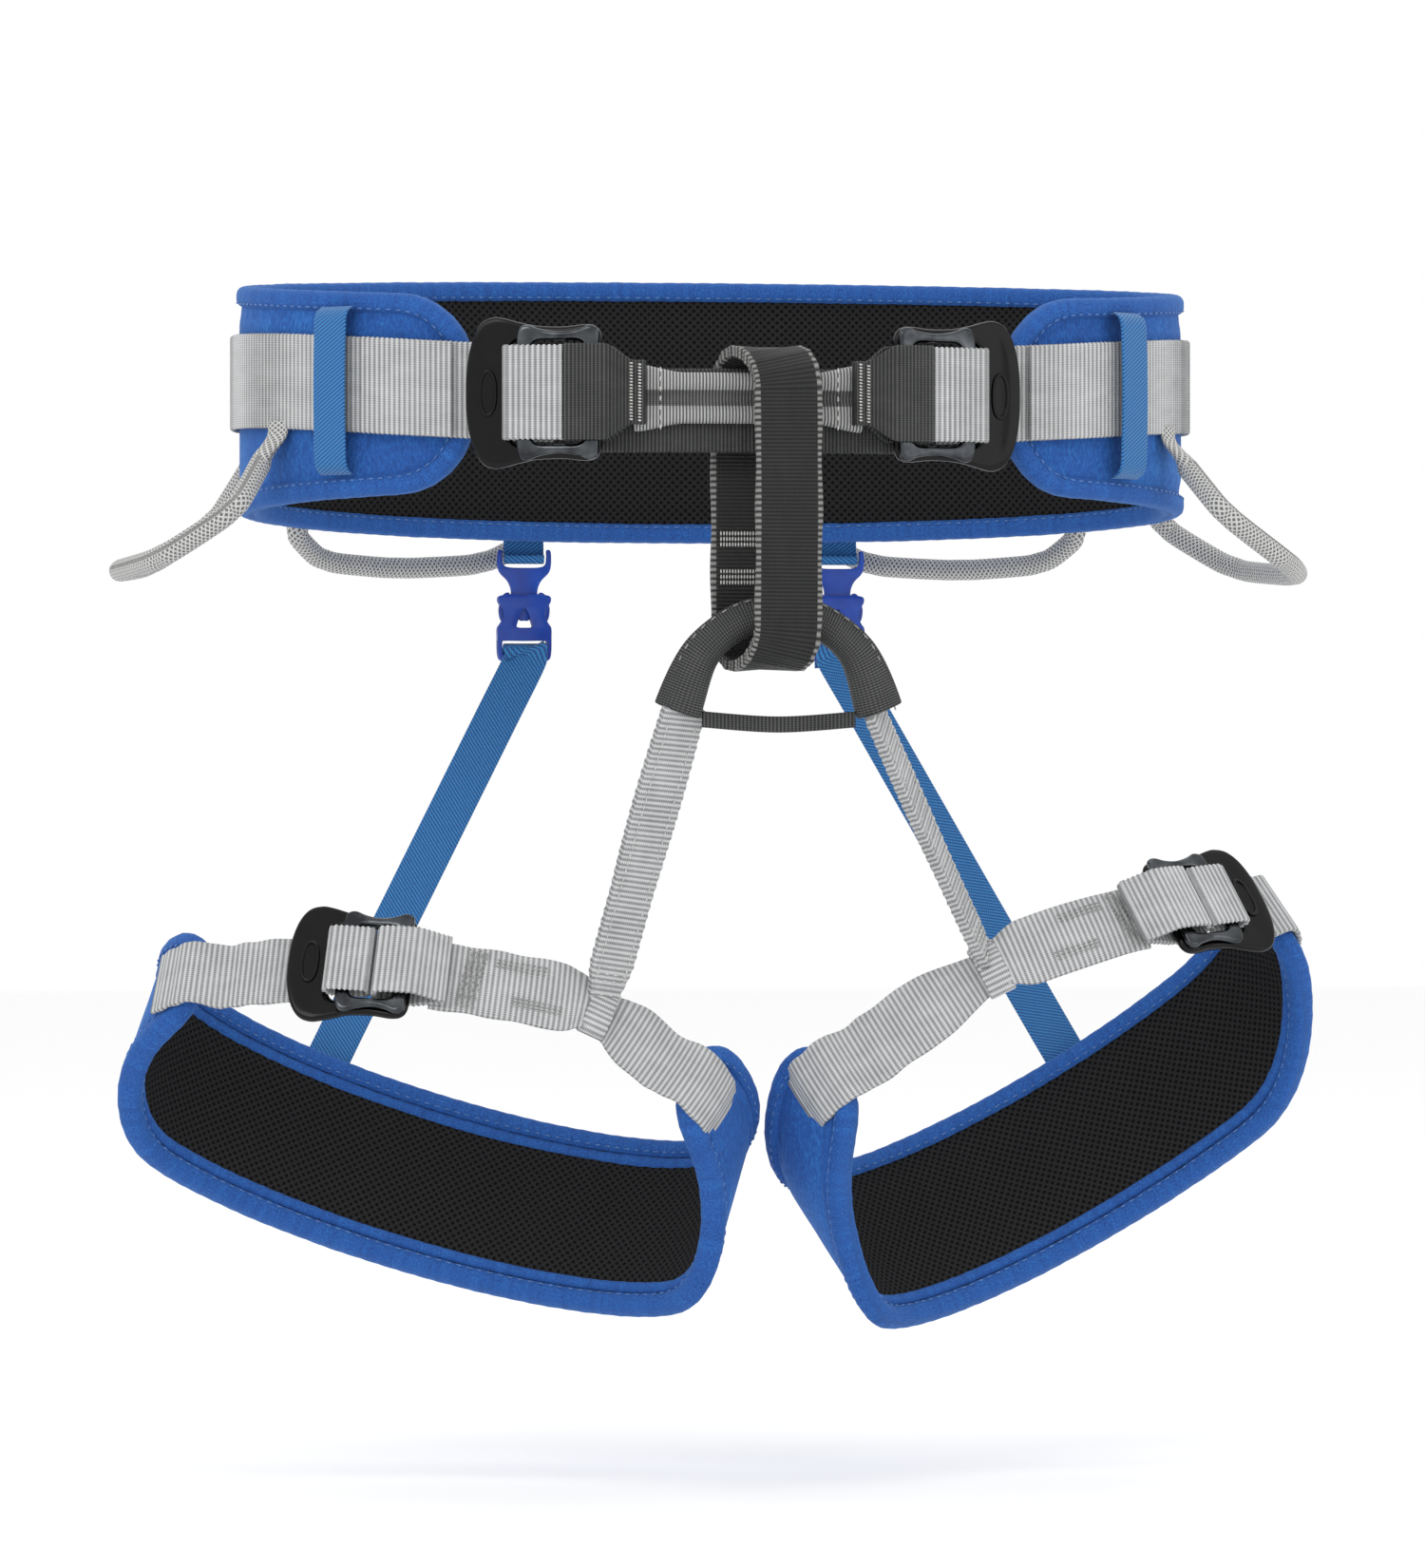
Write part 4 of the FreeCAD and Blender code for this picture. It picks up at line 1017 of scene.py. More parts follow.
def pad(name, face, body, nodes, rim_nodes, held_flat, spacing=4.6, double=False):
    """A padded panel: blue shell outside, black mesh inside, stuffed, with its edge rolled in binding."""
    tuck = RIM_W * 0.55
    first, last = face.psi[0], face.psi[-1]
    count = int(face.length / spacing)
    cells = 22
    ends = [f * 14.0 / face.length for f in (0.35, 0.6, 0.8, 1.0)]
    inner = steps(ends[-1], 1.0 - ends[-1], count)
    where = ends[:-1] + inner + [1.0 - e for e in reversed(ends[:-1])]
    rings, uvs, edge, flat_uv = [], [], [], []
    for f in where:
        psi = mix(first, last, f)
        low, top = face.edges(psi, tuck)
        s = face.s[int(round(f * FACE_STEPS))]
        end_reach = min(s, face.length - s) - tuck
        ring, uv = [], []
        for side in (1, -1):
            order = range(cells + 1) if side > 0 else range(cells, -1, -1)
            for j in order:
                g = 0.5 - 0.5 * math.cos(math.pi * j / cells)
                g = mix(j / cells, g, 0.45)
                z = mix(low, top, g)
                d = max(min(z - low, top - z, end_reach), 0.0)
                thick = 2.2 + (PAD_T / 2.0 - 2.7) * smooth(d / 9.0)
                ring.append(face.at(psi, PAD_T / 2.0 + side * thick, z))
                uv.append((s, z))
                edge.append(d)
                flat_uv.append((s, z, side, psi))
        rings.append(ring)
        uvs.append(uv)
    obj = loft(name, rings, uvs, BLUE)
    mesh = obj.data
    mesh.materials.append(LINING)
    per = 2 * (cells + 1)
    skin = per * (len(rings) - 1)
    index = [1 if cells < (i % per) < per - 1 and i < skin else 0 for i in range(len(mesh.polygons))]
    mesh.polygons.foreach_set("material_index", index)
    for key, values in (("edge", edge), ("along", [u[0] for u in flat_uv])):
        mesh.attributes.new(key, "FLOAT", "POINT").data.foreach_set("value", values)
    cap = [(0.3 + 1.9 * smooth(d / 16.0)) * (0.25 if side > 0 and held_flat(psi, z) else 1.0)
           for d, (s, z, side, psi) in zip(edge, flat_uv)]
    swelled(obj, [i for i, d in enumerate(edge) if d < 2.0], cap)
    refined(obj)
    mesh = obj.data
    edges = [0.0] * len(mesh.vertices)
    alongs = [0.0] * len(mesh.vertices)
    mesh.attributes["edge"].data.foreach_get("value", edges)
    mesh.attributes["along"].data.foreach_get("value", alongs)
    normals = [v.normal.copy() for v in mesh.vertices]
    for v, d, a, normal in zip(mesh.vertices, edges, alongs, normals):
        drape = noise.noise(v.co * 22.0) * 0.45 + noise.noise(v.co * 70.0) * 0.16
        pucker = math.exp(-((d - 7.2) / 2.4) ** 2) * (0.55 + 0.2 * math.sin(a * TAU / STITCH_PUCKER))
        v.co = v.co + normal * (drape * smooth(d / 12.0) - pucker) * MM
    keep(obj, body, "blue_shell", *nodes)

    def roll(tag, inset, width, thick, part=False):
        places = face.edge_places(inset)
        if part:
            flat = face.outline(inset)
            start = min(range(len(flat)), key=lambda i: abs(flat[i][0] - inset) + max(0.0, 8.0 - flat[i][1]))
            places = places[start:] + places[:start]
            flat = flat[start:] + flat[:start]
            low = [i for i, (s, z) in enumerate(flat) if z < sum(face.edges(face.angle(s), 0.0)) / 2.0]
            places = places[low[0]:low[-1]]
        section = []
        for k in range(18):
            t = TAU * k / 18.0
            c, n = math.cos(t), math.sin(t)
            section.append((width / 2.0 * signed_power(c, 0.75), thick / 2.0 * signed_power(n, 0.75)))
        rings, uvs = [], []
        for (p, across, out), along in zip(places, travelled([place[0] for place in places])):
            swell = 1.0 + 0.035 * noise.noise(p * 0.09) + 0.02 * math.sin(along * TAU / STITCH_PUCKER)
            rings.append([p + across * x * swell + out * y * swell for x, y in section])
            uvs.append([(along, (width + thick) * k / 18.0) for k in range(18)])
        return loft(name + tag, rings, uvs, RIM, closed=not part)
    keep(roll("_rolled_edge", RIM_W / 2.0 + 0.1, RIM_W, PAD_T + 1.5), body, "blue_shell", *rim_nodes)
    if double:
        keep(roll("_inner_piping", RIM_W + 2.4, 6.0, PAD_T - 0.4, part=True), body, "blue_shell")
    lines = []
    for offset in (PAD_T / 2.0 + 4.72, PAD_T / 2.0 - 4.72):
        flat = face.outline(RIM_W * 0.80)
        flat.append(flat[0])
        lines.append([face.point(s, z, offset) for s, z in flat])
    keep(stitched(name + "_edge_stitching", lines, BLUE_THREAD, 2.8, 1.5), body, "blue_shell")


def under_belt(psi, z):
    """Where the webbing lies on the pad and holds it flat."""
    return abs(z - web_z(psi % 360.0)) < WEB_W / 2.0 + 4.0


waist_face = Face(waist, WING_PHI, 360.0 - WING_PHI, waist_edges)
pad("waist_pad", waist_face, "waist_belt",
    ("waist_pad_lining", "waist_pad_foam", "waist_pad_shell"), ("waist_pad_binding",), under_belt)
for side_name, leg in LEG.items():
    leg_face = Face(leg_ring(leg), leg["pad"][0], leg["pad"][1], leg_edges(leg))
    pad("leg_pad_" + side_name, leg_face, "leg_" + side_name,
        ["leg_pad_%s_%s" % (part, side_name) for part in ("lining", "foam", "shell")],
        ("leg_pad_binding_" + side_name,), lambda psi, z: False, double=True)


# ---- waist webbing, its tails and their keepers ---------------------------------------------------
def waist_places(phi0, phi1, offset, middle, spacing):
    """(point, up, out) round the belt; middle is a fixed height, or None to follow the webbing."""
    count = max(int(abs(phi1 - phi0) * 3.0 / spacing), 6)
    places = []
    for phi in steps(phi0, phi1, count):
        z = web_z(abs(phi)) if middle is None else middle
        p = waist(phi, offset, z)
        out = (waist(phi, offset + 5.0, z) - p).normalized()
        places.append((p, Vector((0, 0, 1)), out))
    return places


def along_waist(name, span, offset, size, material, rib, slot, node, spacing, middle=None, cells=8):
    """Ribbed webbing laid round the belt from span[0] to span[1] degrees; size is its width and thickness."""
    width, thick = size
    places = waist_places(span[0], span[1], offset + thick / 2.0, middle, spacing)
    obj = strap(name, places, width, thick, material, cells)
    keep(ribbed(obj, material, rib), "waist_belt", slot, node)


along_waist("waist_webbing_band", (BUCKLE_PHI - 2.0, 362.0 - BUCKLE_PHI), WEB_OFFSET, (WEB_W, WEB_T), GREY,
            GREY_RIB, "grey_webbing", "waist_webbing", 1.0, cells=10)

KEEPER_PHI = 55.0
tacks, belt_seams, keeper_bands = [], [], []
for side_name, side in SIDES.items():
    along_waist("waist_strap_tail_band_" + side_name, (side * (BUCKLE_PHI + 11.0), side * 50.0),
                WEB_OFFSET + WEB_T + GAP, (WEB_W, WEB_T), GREY, GREY_RIB, "grey_webbing",
                "waist_strap_tail_" + side_name, 0.6)
    places = []
    for k in steps(0.0, 1.0, 34):
        phi = side * KEEPER_PHI
        z = mix(FRONT_TOP - 2.0, FRONT_LOW + 6.0, k)
        lift = WEB_OFFSET + 2 * (WEB_T + GAP) + 0.9 + 1.0 * math.sin(math.pi * k)
        lift -= 4.6 * (1 - nose(min(k, 1 - k), 0.1))
        p = waist(phi, lift, z)
        run = Vector((0, 0, 1))
        out = (waist(phi, lift + 5.0, z) - p).normalized()
        places.append((p, out.cross(run).normalized(), out))
    keeper_bands.append(strap("keeper_loop_" + side_name, places, 15.0, 1.4, TAPE))
first, second = keeper_bands
keep(first, "waist_belt", "blue_tape", "keeper_loops")
keep(second, "waist_belt", "blue_tape")


# ---- buckles and the webbing that runs in them ----------------------------------------------------
def waist_axes(side):
    """A waist buckle's own place and axes: along the belt, outwards and up."""
    z = web_z(BUCKLE_PHI)
    p = waist(BUCKLE_PHI * side, BUCKLE_OFFSET, z)
    y_axis = (waist(BUCKLE_PHI * side, BUCKLE_OFFSET + 10.0, z) - p).normalized()
    x_axis = Vector((y_axis.y * side, -y_axis.x * side, 0))
    return p, x_axis, y_axis, x_axis.cross(y_axis)


def leg_axes(leg):
    """A leg buckle's own place and axes: along the strap, outwards and up."""
    at = leg_ring(leg)
    psi = leg["buckle"]
    mid = strap_line(leg, psi)
    p = at(psi, BUCKLE_OFFSET - WEB_OFFSET + WEB_T, mid)
    ahead, back = (at(q, 0, strap_line(leg, q)) for q in (psi - 8, psi + 8))
    x_axis = (ahead - back).normalized()
    up = (at(psi, 0, mid + 10) - at(psi, 0, mid)).normalized()
    y_axis = up.cross(x_axis).normalized() * leg["side"]
    return p, x_axis, y_axis, x_axis.cross(y_axis)


def local_places(axes, points, spacing=1.0, closed=False):
    """(point, across, out) along a route given in a buckle's own plane."""
    p, xa, ya, za = axes
    route = curve_points([(x, y, 0) for x, y in points], spacing, closed)
    world = [p + xa * q.x + ya * q.y for q in route]
    places = []
    for i, q in enumerate(world):
        ahead = world[(i + 1) % len(world)] if closed else world[min(i + 1, len(world) - 1)]
        back = world[i - 1] if closed else world[max(i - 1, 0)]
        run = (ahead - back).normalized()
        places.append((q, za, run.cross(za).normalized()))
    return places


def fold_band(name, axes, length, web, body, node, gap):
    """Webbing turned back round the slider's outer bar, up to this gap from the anchor loop. The webbing
    is 0.3 mm thinner and 1 mm narrower than elsewhere, to pass through the frame."""
    x0 = -length / 2.0 + SLIDER_START
    y0 = FRAME_T + GAP
    low, high = y0 - 1.3, y0 + SLIDER_T + 1.5
    a, b = x0 - 4.6, length / 2.0 - THIN_BAR - 8.0 - gap
    mid = (low + high) / 2.0
    route = [(a, mid + 0.8), (a + 1.0, y0 + 1.1), (x0 - 1.0, low + 0.3), (b - 2.5, low), (b - 0.5, low + 0.8),
             (b, mid), (b - 0.6, high - 0.4), (b - 2.6, high), (a + 3.2, high + 0.25), (a + 0.9, high - 0.5)]
    obj = strap(name, local_places(axes, route, 0.5, closed=True), web - 1.0, 1.7, GREY, closed=True)
    keep(ribbed(obj, GREY), body, "grey_webbing", node)


def anchor_band(name, axes, length, web, reach, narrow, material, slot, body, node, rib):
    """The sewn loop that holds the buckle's inner bars, both plies meeting past them."""
    half = length / 2.0
    x0 = half - THIN_BAR - 8.0
    top = FRAME_T + GAP + SLIDER_T + 2.4
    far = half + reach
    y = FRAME_T / 2.0
    route = [(far, y - 1.2), (half + 12.0, y - 1.3), (half + 5.0, y - 2.6), (half, -2.0), (x0 + 2.0, -1.8),
             (x0, 1.6), (x0, top - 3.0), (x0 + 2.2, top), (half, top + 0.2), (half + 4.5, top - 1.6),
             (half + 12.0, y + 1.5), (far, y + 1.3)]
    places = local_places(axes, route, 0.6)
    xs = [(p - axes[0]).dot(axes[1]) for p, _, _ in places]

    def width_at(t):
        x = xs[int(round(t * (len(xs) - 1)))]
        return mix(1.0, narrow / web, smooth((x - half - 1.0) / 12.0))
    obj = strap(name, places, web, 2.0, material, widths=width_at)
    keep(ribbed(obj, material, rib), body, slot, node)


for side_name, side in SIDES.items():
    axes = waist_axes(side)
    slider_body = frame["nodes"]["waist_buckle_slider_" + side_name]["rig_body"]
    buckle_plates("waist_" + side_name, axes, FRAME_L, WEB_W, "waist_belt", slider_body)
    fold_band("waist_strap_fold_band_" + side_name, axes, FRAME_L, WEB_W, slider_body,
              "waist_strap_fold_" + side_name, 1.2)
    anchor_band("tie_in_loop_" + side_name, axes, FRAME_L, WEB_W, 17.0, TIE_W, DARK, "dark_webbing",
                "waist_belt", "tie_in_anchor_" + side_name, DARK_RIB)
    end = FRAME_L / 2.0
    seam_y = FRAME_T / 2.0 + 2.9
    p, xa, ya, za = axes
    middle_seam = p + xa * (end + 13.6) + ya * seam_y
    tacks += satin(middle_seam - za * 11.0, middle_seam + za * 11.0, xa * 3.4 + za * 0.5, 1.1)
    belt_seams.append([p + xa * (end + 9.6) + ya * seam_y + za * h for h in steps(-11.4, 11.4, 12)])
for side_name, leg in LEG.items():
    axes = leg_axes(leg)
    body = "leg_" + side_name
    slider_body = frame["nodes"]["leg_buckle_slider_" + side_name]["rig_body"]
    buckle_plates("leg_" + side_name, axes, LEG_FRAME_L, LEG_WEB_W, body, slider_body)
    fold_band("leg_strap_fold_band_" + side_name, axes, LEG_FRAME_L, LEG_WEB_W, slider_body,
              "leg_strap_fold_" + side_name, 2.6)
    anchor_band("leg_strap_loop_" + side_name, axes, LEG_FRAME_L, LEG_WEB_W, 14.0, LEG_WEB_W, GREY,
                "grey_webbing", body, "leg_strap_anchor_" + side_name, GREY_RIB)


# ---- tie-in webbing -------------------------------------------------------------------------------
tie_end = phi_at(BUCKLE_X - FRAME_L / 2.0 - 15.0, BUCKLE_OFFSET)
along_waist("tie_in_backing", (-tie_end - 6, tie_end + 6), TIE_OFFSET - TIE_T - 3 * GAP, (33.0, TIE_T), DARK,
            DARK_RIB, "dark_webbing", "tie_in_strap_back", 0.6, middle=-7.7)


def folded_strap(name, places, width, material, spread):
    """Webbing folded lengthways into two rolls; spread(t) is how far open the fold lies, 0 to 1."""
    rings, uvs = [], []
    marks = travelled([place[0] for place in places])
    for i, ((p, across, out), along) in enumerate(zip(places, marks)):
        t = i / (len(places) - 1.0)
        half = width / 2.0 * mix(0.82, 1.08, spread(t))
        gap = mix(3.0, 0.6, spread(t))
        ring, uv = [], []
        outer = [(half, 0.0), (half - 0.5, 1.6), (half - 2.2, 2.7), (half * 0.6, 2.9), (gap + 1.6, 2.4),
                 (gap, 1.0), (0.0, mix(-1.2, 1.9, spread(t)))]
        top = outer + [(-x, y) for x, y in reversed(outer[:-1])]
        low = [(-half + 0.6, -1.3), (-half / 2.0, -1.9), (0.0, -2.0), (half / 2.0, -1.9), (half - 0.6, -1.3)]
        for x, y in top + low:
            ring.append(p + across * x + out * y)
            uv.append((along, x * 1.2))
        rings.append(ring)
        uvs.append(uv)
    return refined(loft(name, rings, uvs, material))


tie_places = waist_places(-tie_end - 1.2, tie_end + 1.2, TIE_OFFSET + TIE_T - 0.4, -3.0, 0.7)
# the folded tie-in strap takes the lighter copy of the dark webbing: painted highlight on its rolls
keep(folded_strap("tie_in_strap_folded", tie_places, TIE_W, DARK_HIGHLIT, lambda t: smooth(abs(t - 0.5) * 4.4 - 1.2)),
     "waist_belt", "dark_webbing", "tie_in_strap_front")
for side in (-1, 1):
    phi = side * (tie_end - 2.0)
    belt_seams.append([waist(phi, TIE_OFFSET + 5.4, z) for z in steps(-14.5, 8.0, 12)])
keep(stitched("tie_in_bar_tacks", tacks, PALE_THREAD, 1.7, 0.1), "waist_belt", "dark_webbing")
keep(stitched("tie_in_seams", belt_seams, PALE_THREAD, 2.4, 1.3), "waist_belt", "dark_webbing")

# ---- belay loop -----------------------------------------------------------------------------------
belay_y = waist(0, TIE_OFFSET, 0).y
radius = (BELAY_DEPTH - BELAY_T) / 2.0
slant = -2.0 * BELAY_SHEAR / BELAY_DEPTH
top_z, low_z = BELAY_TOP - BELAY_T / 2.0 - radius, BELAY_LOW + BELAY_T / 2.0 + radius


def belay_point(y, z):
    """A point in the belay loop's own slanting plane."""
    return Vector((BELAY_X + slant * y, belay_y + y, z))


ring = []
for z in steps(top_z, low_z, 60)[:-1]:
    t = (top_z - z) / (top_z - low_z)
    ring.append(belay_point(-radius - 0.5 * math.sin(math.pi * t), z))
for a in steps(0.0, math.pi, 26)[:-1]:
    ring.append(belay_point(-radius * math.cos(a), low_z - radius * math.sin(a)))
for z in steps(low_z, top_z, 60)[:-1]:
    ring.append(belay_point(radius, z))
for a in steps(0.0, math.pi, 26)[:-1]:
    ring.append(belay_point(radius * math.cos(a), top_z + radius * math.sin(a)))
loop_places = []
for i, p in enumerate(ring):
    run = (ring[(i + 1) % len(ring)] - ring[i - 1]).normalized()
    wide = Vector((1, 0, 0))
    wide = (wide - run * wide.dot(run)).normalized()
    loop_places.append((p, wide, run.cross(wide).normalized()))
belay = strap("belay_loop_plies", loop_places, BELAY_W, BELAY_T - 0.2, BELAY, cells=12, closed=True, plies=3)
ribbed(belay, BELAY, DARK_RIB)
keep(belay, "belay_loop", "dark_webbing", "belay_loop")
loop_lines = []
for z in (-58.0, -73.0):
    for s in (-1, 1):
        middle, reach = belay_point(radius + s * (BELAY_T / 2.0 + 0.1), z), Vector((10.5, 0, 0))
        loop_lines += satin(middle - reach, middle + reach, Vector((0, 0, 4.4)), 1.1)
keep(stitched("belay_loop_stitching", loop_lines, PALE_THREAD, 2.0, 0.1), "belay_loop", "dark_webbing")

# ---- leg bridge and crosspiece --------------------------------------------------------------------
bridge_top = BELAY_LOW + BELAY_T + BRIDGE_R + BRIDGE_PLAY
shoulder = 0.42 * BRIDGE_SPAN
arch = curve_points([(BRIDGE_X - BRIDGE_SPAN - 1.5, belay_y + 4, BRIDGE_LOW - 1),
                     (BRIDGE_X - shoulder * 1.92, belay_y + 1, bridge_top - 14),
                     (BRIDGE_X - shoulder * 0.95, belay_y, bridge_top - 1.5),
                     (BRIDGE_X, belay_y, bridge_top + 0.6),
                     (BRIDGE_X + shoulder * 0.95, belay_y, bridge_top - 1.5),
                     (BRIDGE_X + shoulder * 1.92, belay_y + 1, bridge_top - 14),
                     (BRIDGE_X + BRIDGE_SPAN + 1.5, belay_y + 4, BRIDGE_LOW - 1)], 1.2)


def arch_places(shift=0.0, forward=0.0):
    places = []
    for i, p in enumerate(arch):
        run = (arch[min(i + 1, len(arch) - 1)] - arch[max(i - 1, 0)]).normalized()
        out = Vector((0, -1, 0))
        wide = run.cross(out).normalized()
        out = wide.cross(run).normalized()
        places.append((p + wide * shift + out * forward, wide, out))
    return places


def sleeve(t):
    """The sleeve's width along the bridge: it fans out towards both ends."""
    return 0.92 + 0.3 * smooth(abs(t - 0.5) * 3.2 - 0.62)


# the sleeve's section: a round tube with its seam pinched to a flat lip on the inner side
SLEEVE_SECTION = [(-9.2, 1.0), (-7.4, 1.5), (-5.6, 3.3), (-2.6, 5.4), (1.2, 6.2), (4.6, 5.0), (6.5, 2.2),
                  (6.8, -0.8), (5.6, -3.9), (2.2, -5.9), (-2.0, -5.6), (-5.0, -3.7), (-7.0, -1.4),
                  (-9.2, -0.7)]
bridge_rings, bridge_uvs = [], []
bridge_places = arch_places()
for i, ((p, wide, out), along) in enumerate(zip(bridge_places, travelled(arch))):
    f = sleeve(i / (len(bridge_places) - 1.0))
    bridge_rings.append([p + wide * x * f + out * y for x, y in SLEEVE_SECTION])
    bridge_uvs.append([(along, 2.1 * k) for k in range(len(SLEEVE_SECTION))])
bridge = refined(loft("leg_bridge_sleeve", bridge_rings, bridge_uvs, SLEEVE))
keep(bridge, "waist_belt", "dark_webbing", "leg_bridge")
seam = [p for p, _, _ in arch_places(-7.6, 1.7)]
keep(stitched("leg_bridge_stitching", [seam], GREY_THREAD, 3.0, 2.0), "waist_belt", "dark_webbing")
cross_z = BRIDGE_LOW - BRIDGE_R + 3.0
cross_route = curve_points([(BRIDGE_X - BRIDGE_SPAN + 7, belay_y + 3.0, cross_z + 1),
                            (BRIDGE_X, belay_y + 4.4, cross_z - 1.0),
                            (BRIDGE_X + BRIDGE_SPAN - 7, belay_y + 3.0, cross_z + 1)], 1.0)
cross_places = [(p, Vector((0, 0, 1)), Vector((0, -1, 0))) for p in cross_route]
keep(strap("bridge_crosspiece_tape", cross_places, 6.4, 1.8, DARK, cells=4), "waist_belt", "dark_webbing",
     "leg_bridge_crosspiece")


# ---- leg straps, risers and rear elastics ----------------------------------------------------------
def along_strap(leg, first, last, lift):
    """Direction of a leg's front strap from one angle to another."""
    at = leg_ring(leg)
    return (at(last, lift, strap_mid(leg, last)) - at(first, lift, strap_mid(leg, first))).normalized()


def leg_strap_places(leg, psi0, psi1, offset):
    """(point, across, out) along a leg's front strap; offset(psi) is how far out it lies."""
    at = leg_ring(leg)
    places = []
    for psi in steps(psi0, psi1, max(int(abs(psi1 - psi0) * MM_PER_DEGREE / STRAP_STEP), 8)):
        lift = offset(psi)
        z = strap_mid(leg, psi)
        p = at(psi, lift, z)
        up = (at(psi, lift, z + 5.0) - p).normalized()
        out = (at(psi, lift + 5.0, z) - p).normalized()
        run = along_strap(leg, psi - 0.5, psi + 0.5, lift)
        wide = (up - run * up.dot(run)).normalized()
        places.append((p, wide, out))
    return places


EYE_UP, EYE_OUT = 10.6, 4.6                 # half sizes of the eye at a riser's lower end


def riser_width(t):
    """A riser's width along its length: a little fuller below its top, gathered at the strap."""
    return 0.9 + 0.1 * math.sin(math.pi * min(t * 1.6, 1.0)) - 0.28 * smooth((t - 0.86) / 0.14)


for side_name, leg in LEG.items():
    body = "leg_" + side_name
    a, b = leg["pad"]
    buckle, junction, end = leg["buckle"], leg["junction"], b - 360.0
    at = leg_ring(leg)

    def over_pad(psi, a=a):
        """Outside the pad's skin while over it, easing down to the strap's own line past its end."""
        return mix(STRAP_LIFT, PAD_T + 2.4, smooth((psi - (a - 7.0)) / 9.0))

    outer_places = leg_strap_places(leg, a + 13.0, buckle + 5.0, over_pad)
    outer = strap("leg_strap_outer_band_" + side_name, outer_places, LEG_WEB_W, WEB_T, GREY)
    keep(ribbed(outer, GREY), body, "grey_webbing", "leg_strap_outer_" + side_name)

    front_offset = WEB_T + 3.0
    p, xa, ya, za = leg_axes(leg)
    start = buckle
    while (at(start, front_offset, strap_mid(leg, start)) - p).dot(xa) < LEG_FRAME_L / 2.0 + 7.0:
        start -= 0.25
    front_places = leg_strap_places(leg, start, junction - 1.0, lambda psi: front_offset)
    front = strap("leg_strap_front_band_" + side_name, front_places, LEG_WEB_W, WEB_T, GREY,
                  widths=lambda t: 1.0 - 0.4 * smooth((t - 0.72) / 0.28), cup=1.2)
    keep(ribbed(front, GREY), body, "grey_webbing", "leg_strap_front_" + side_name)

    def into_slot(psi, end=end):
        """Over the pad's end, then down into its cover."""
        over = mix(STRAP_LIFT, PAD_T + 1.9, smooth((end + 7.0 - psi) / 9.0))
        return over - 3.4 * smooth((end - 10.0 - psi) / 5.0)

    inner_places = leg_strap_places(leg, junction + 1.0, end - 15.0, into_slot)
    inner = strap("leg_strap_inner_band_" + side_name, inner_places, LEG_WEB_W, WEB_T, GREY,
                  widths=lambda t: 0.6 + 0.4 * smooth(t / 0.3), cup=1.0)
    keep(ribbed(inner, GREY), body, "grey_webbing", "leg_strap_inner_" + side_name)

    def on_front(psi, height, leg=leg, at=at):
        """A point on the front strap's face, this far above its middle."""
        return at(psi, front_offset + WEB_T / 2.0 + 0.3, strap_mid(leg, psi) + height)

    # two zig-zag bar tacks across the strap, then two triple rows along it
    lines = [[on_front(psi + (0.9 if i % 2 else -0.9), h) for i, h in enumerate(steps(-12.5, 12.5, 26))]
             for psi in (buckle - 22.0, buckle - 24.0)]
    for start, height in ((buckle - 27.0, 7.0), (buckle - 32.0, -8.5)):
        lines += [[on_front(psi, height + rise) for psi in steps(start, start - 9.0, 12)]
                  for rise in (0.0, 1.5, 3.0)]
    keep(stitched("leg_strap_bar_tacks_" + side_name, lines, GREY_THREAD, 1.7, 0.5, 0.7), body,
         "grey_webbing")

    end_point = Vector((BRIDGE_X + leg["side"] * BRIDGE_SPAN, belay_y + 4, BRIDGE_LOW))
    top = end_point + Vector((0, 0, 1.0))
    foot = at(junction, WEB_T + 1.0, strap_mid(leg, junction) + 3.0)
    middle = (top + foot) / 2.0 + Vector((0, 3.0, 0))
    across = {"right": (1, 0.2, 0.3), "left": (0.45, 1, 0.2)}[side_name]
    route = curve_points([top, middle, foot], 1.4)
    riser_places = frames(route, across)
    riser = strap("leg_riser_band_" + side_name, riser_places, 20.0, 4.0, GREY, plies=2, widths=riser_width)
    keep(ribbed(riser, GREY), body, "grey_webbing", "leg_riser_" + side_name)
    # a seam along each side on both faces, then five short rows across the lower end
    lines = [[p + wide * shift + out * face for p, wide, out in riser_places[6:-8]]
             for shift in (-6.2, 6.2) for face in (-2.2, 2.2)]
    lines += [[p + wide * x + out * face for x in steps(-6.0, 6.0, 9)]
              for p, wide, out in riser_places[-12:-2:2] for face in (-2.2, 2.2)]
    keep(stitched("leg_riser_stitching_" + side_name, lines, PALE_THREAD, 2.4, 1.0, 0.7), body,
         "grey_webbing")
    # the riser's eye: an oval cuff round the gathered strap
    centre = at(junction, 1.6, strap_mid(leg, junction))
    run = along_strap(leg, junction + 3, junction - 3, 1.6)
    up = (at(junction, 1.6, 10.0) - at(junction, 1.6, 0.0)).normalized()
    up = (up - run * up.dot(run)).normalized()
    out = up.cross(run).normalized()
    eye = []
    for t in steps(0.0, TAU, 41)[:-1]:
        p = centre + up * (EYE_UP * math.cos(t)) + out * (EYE_OUT * math.sin(t))
        normal = (up * (math.cos(t) / EYE_UP) + out * (math.sin(t) / EYE_OUT)).normalized()
        eye.append((p, run, normal))
    cuff = strap("leg_riser_eye_" + side_name, eye, 11.0, 1.8, GREY, cells=6, closed=True)
    keep(ribbed(cuff, GREY), body, "grey_webbing")

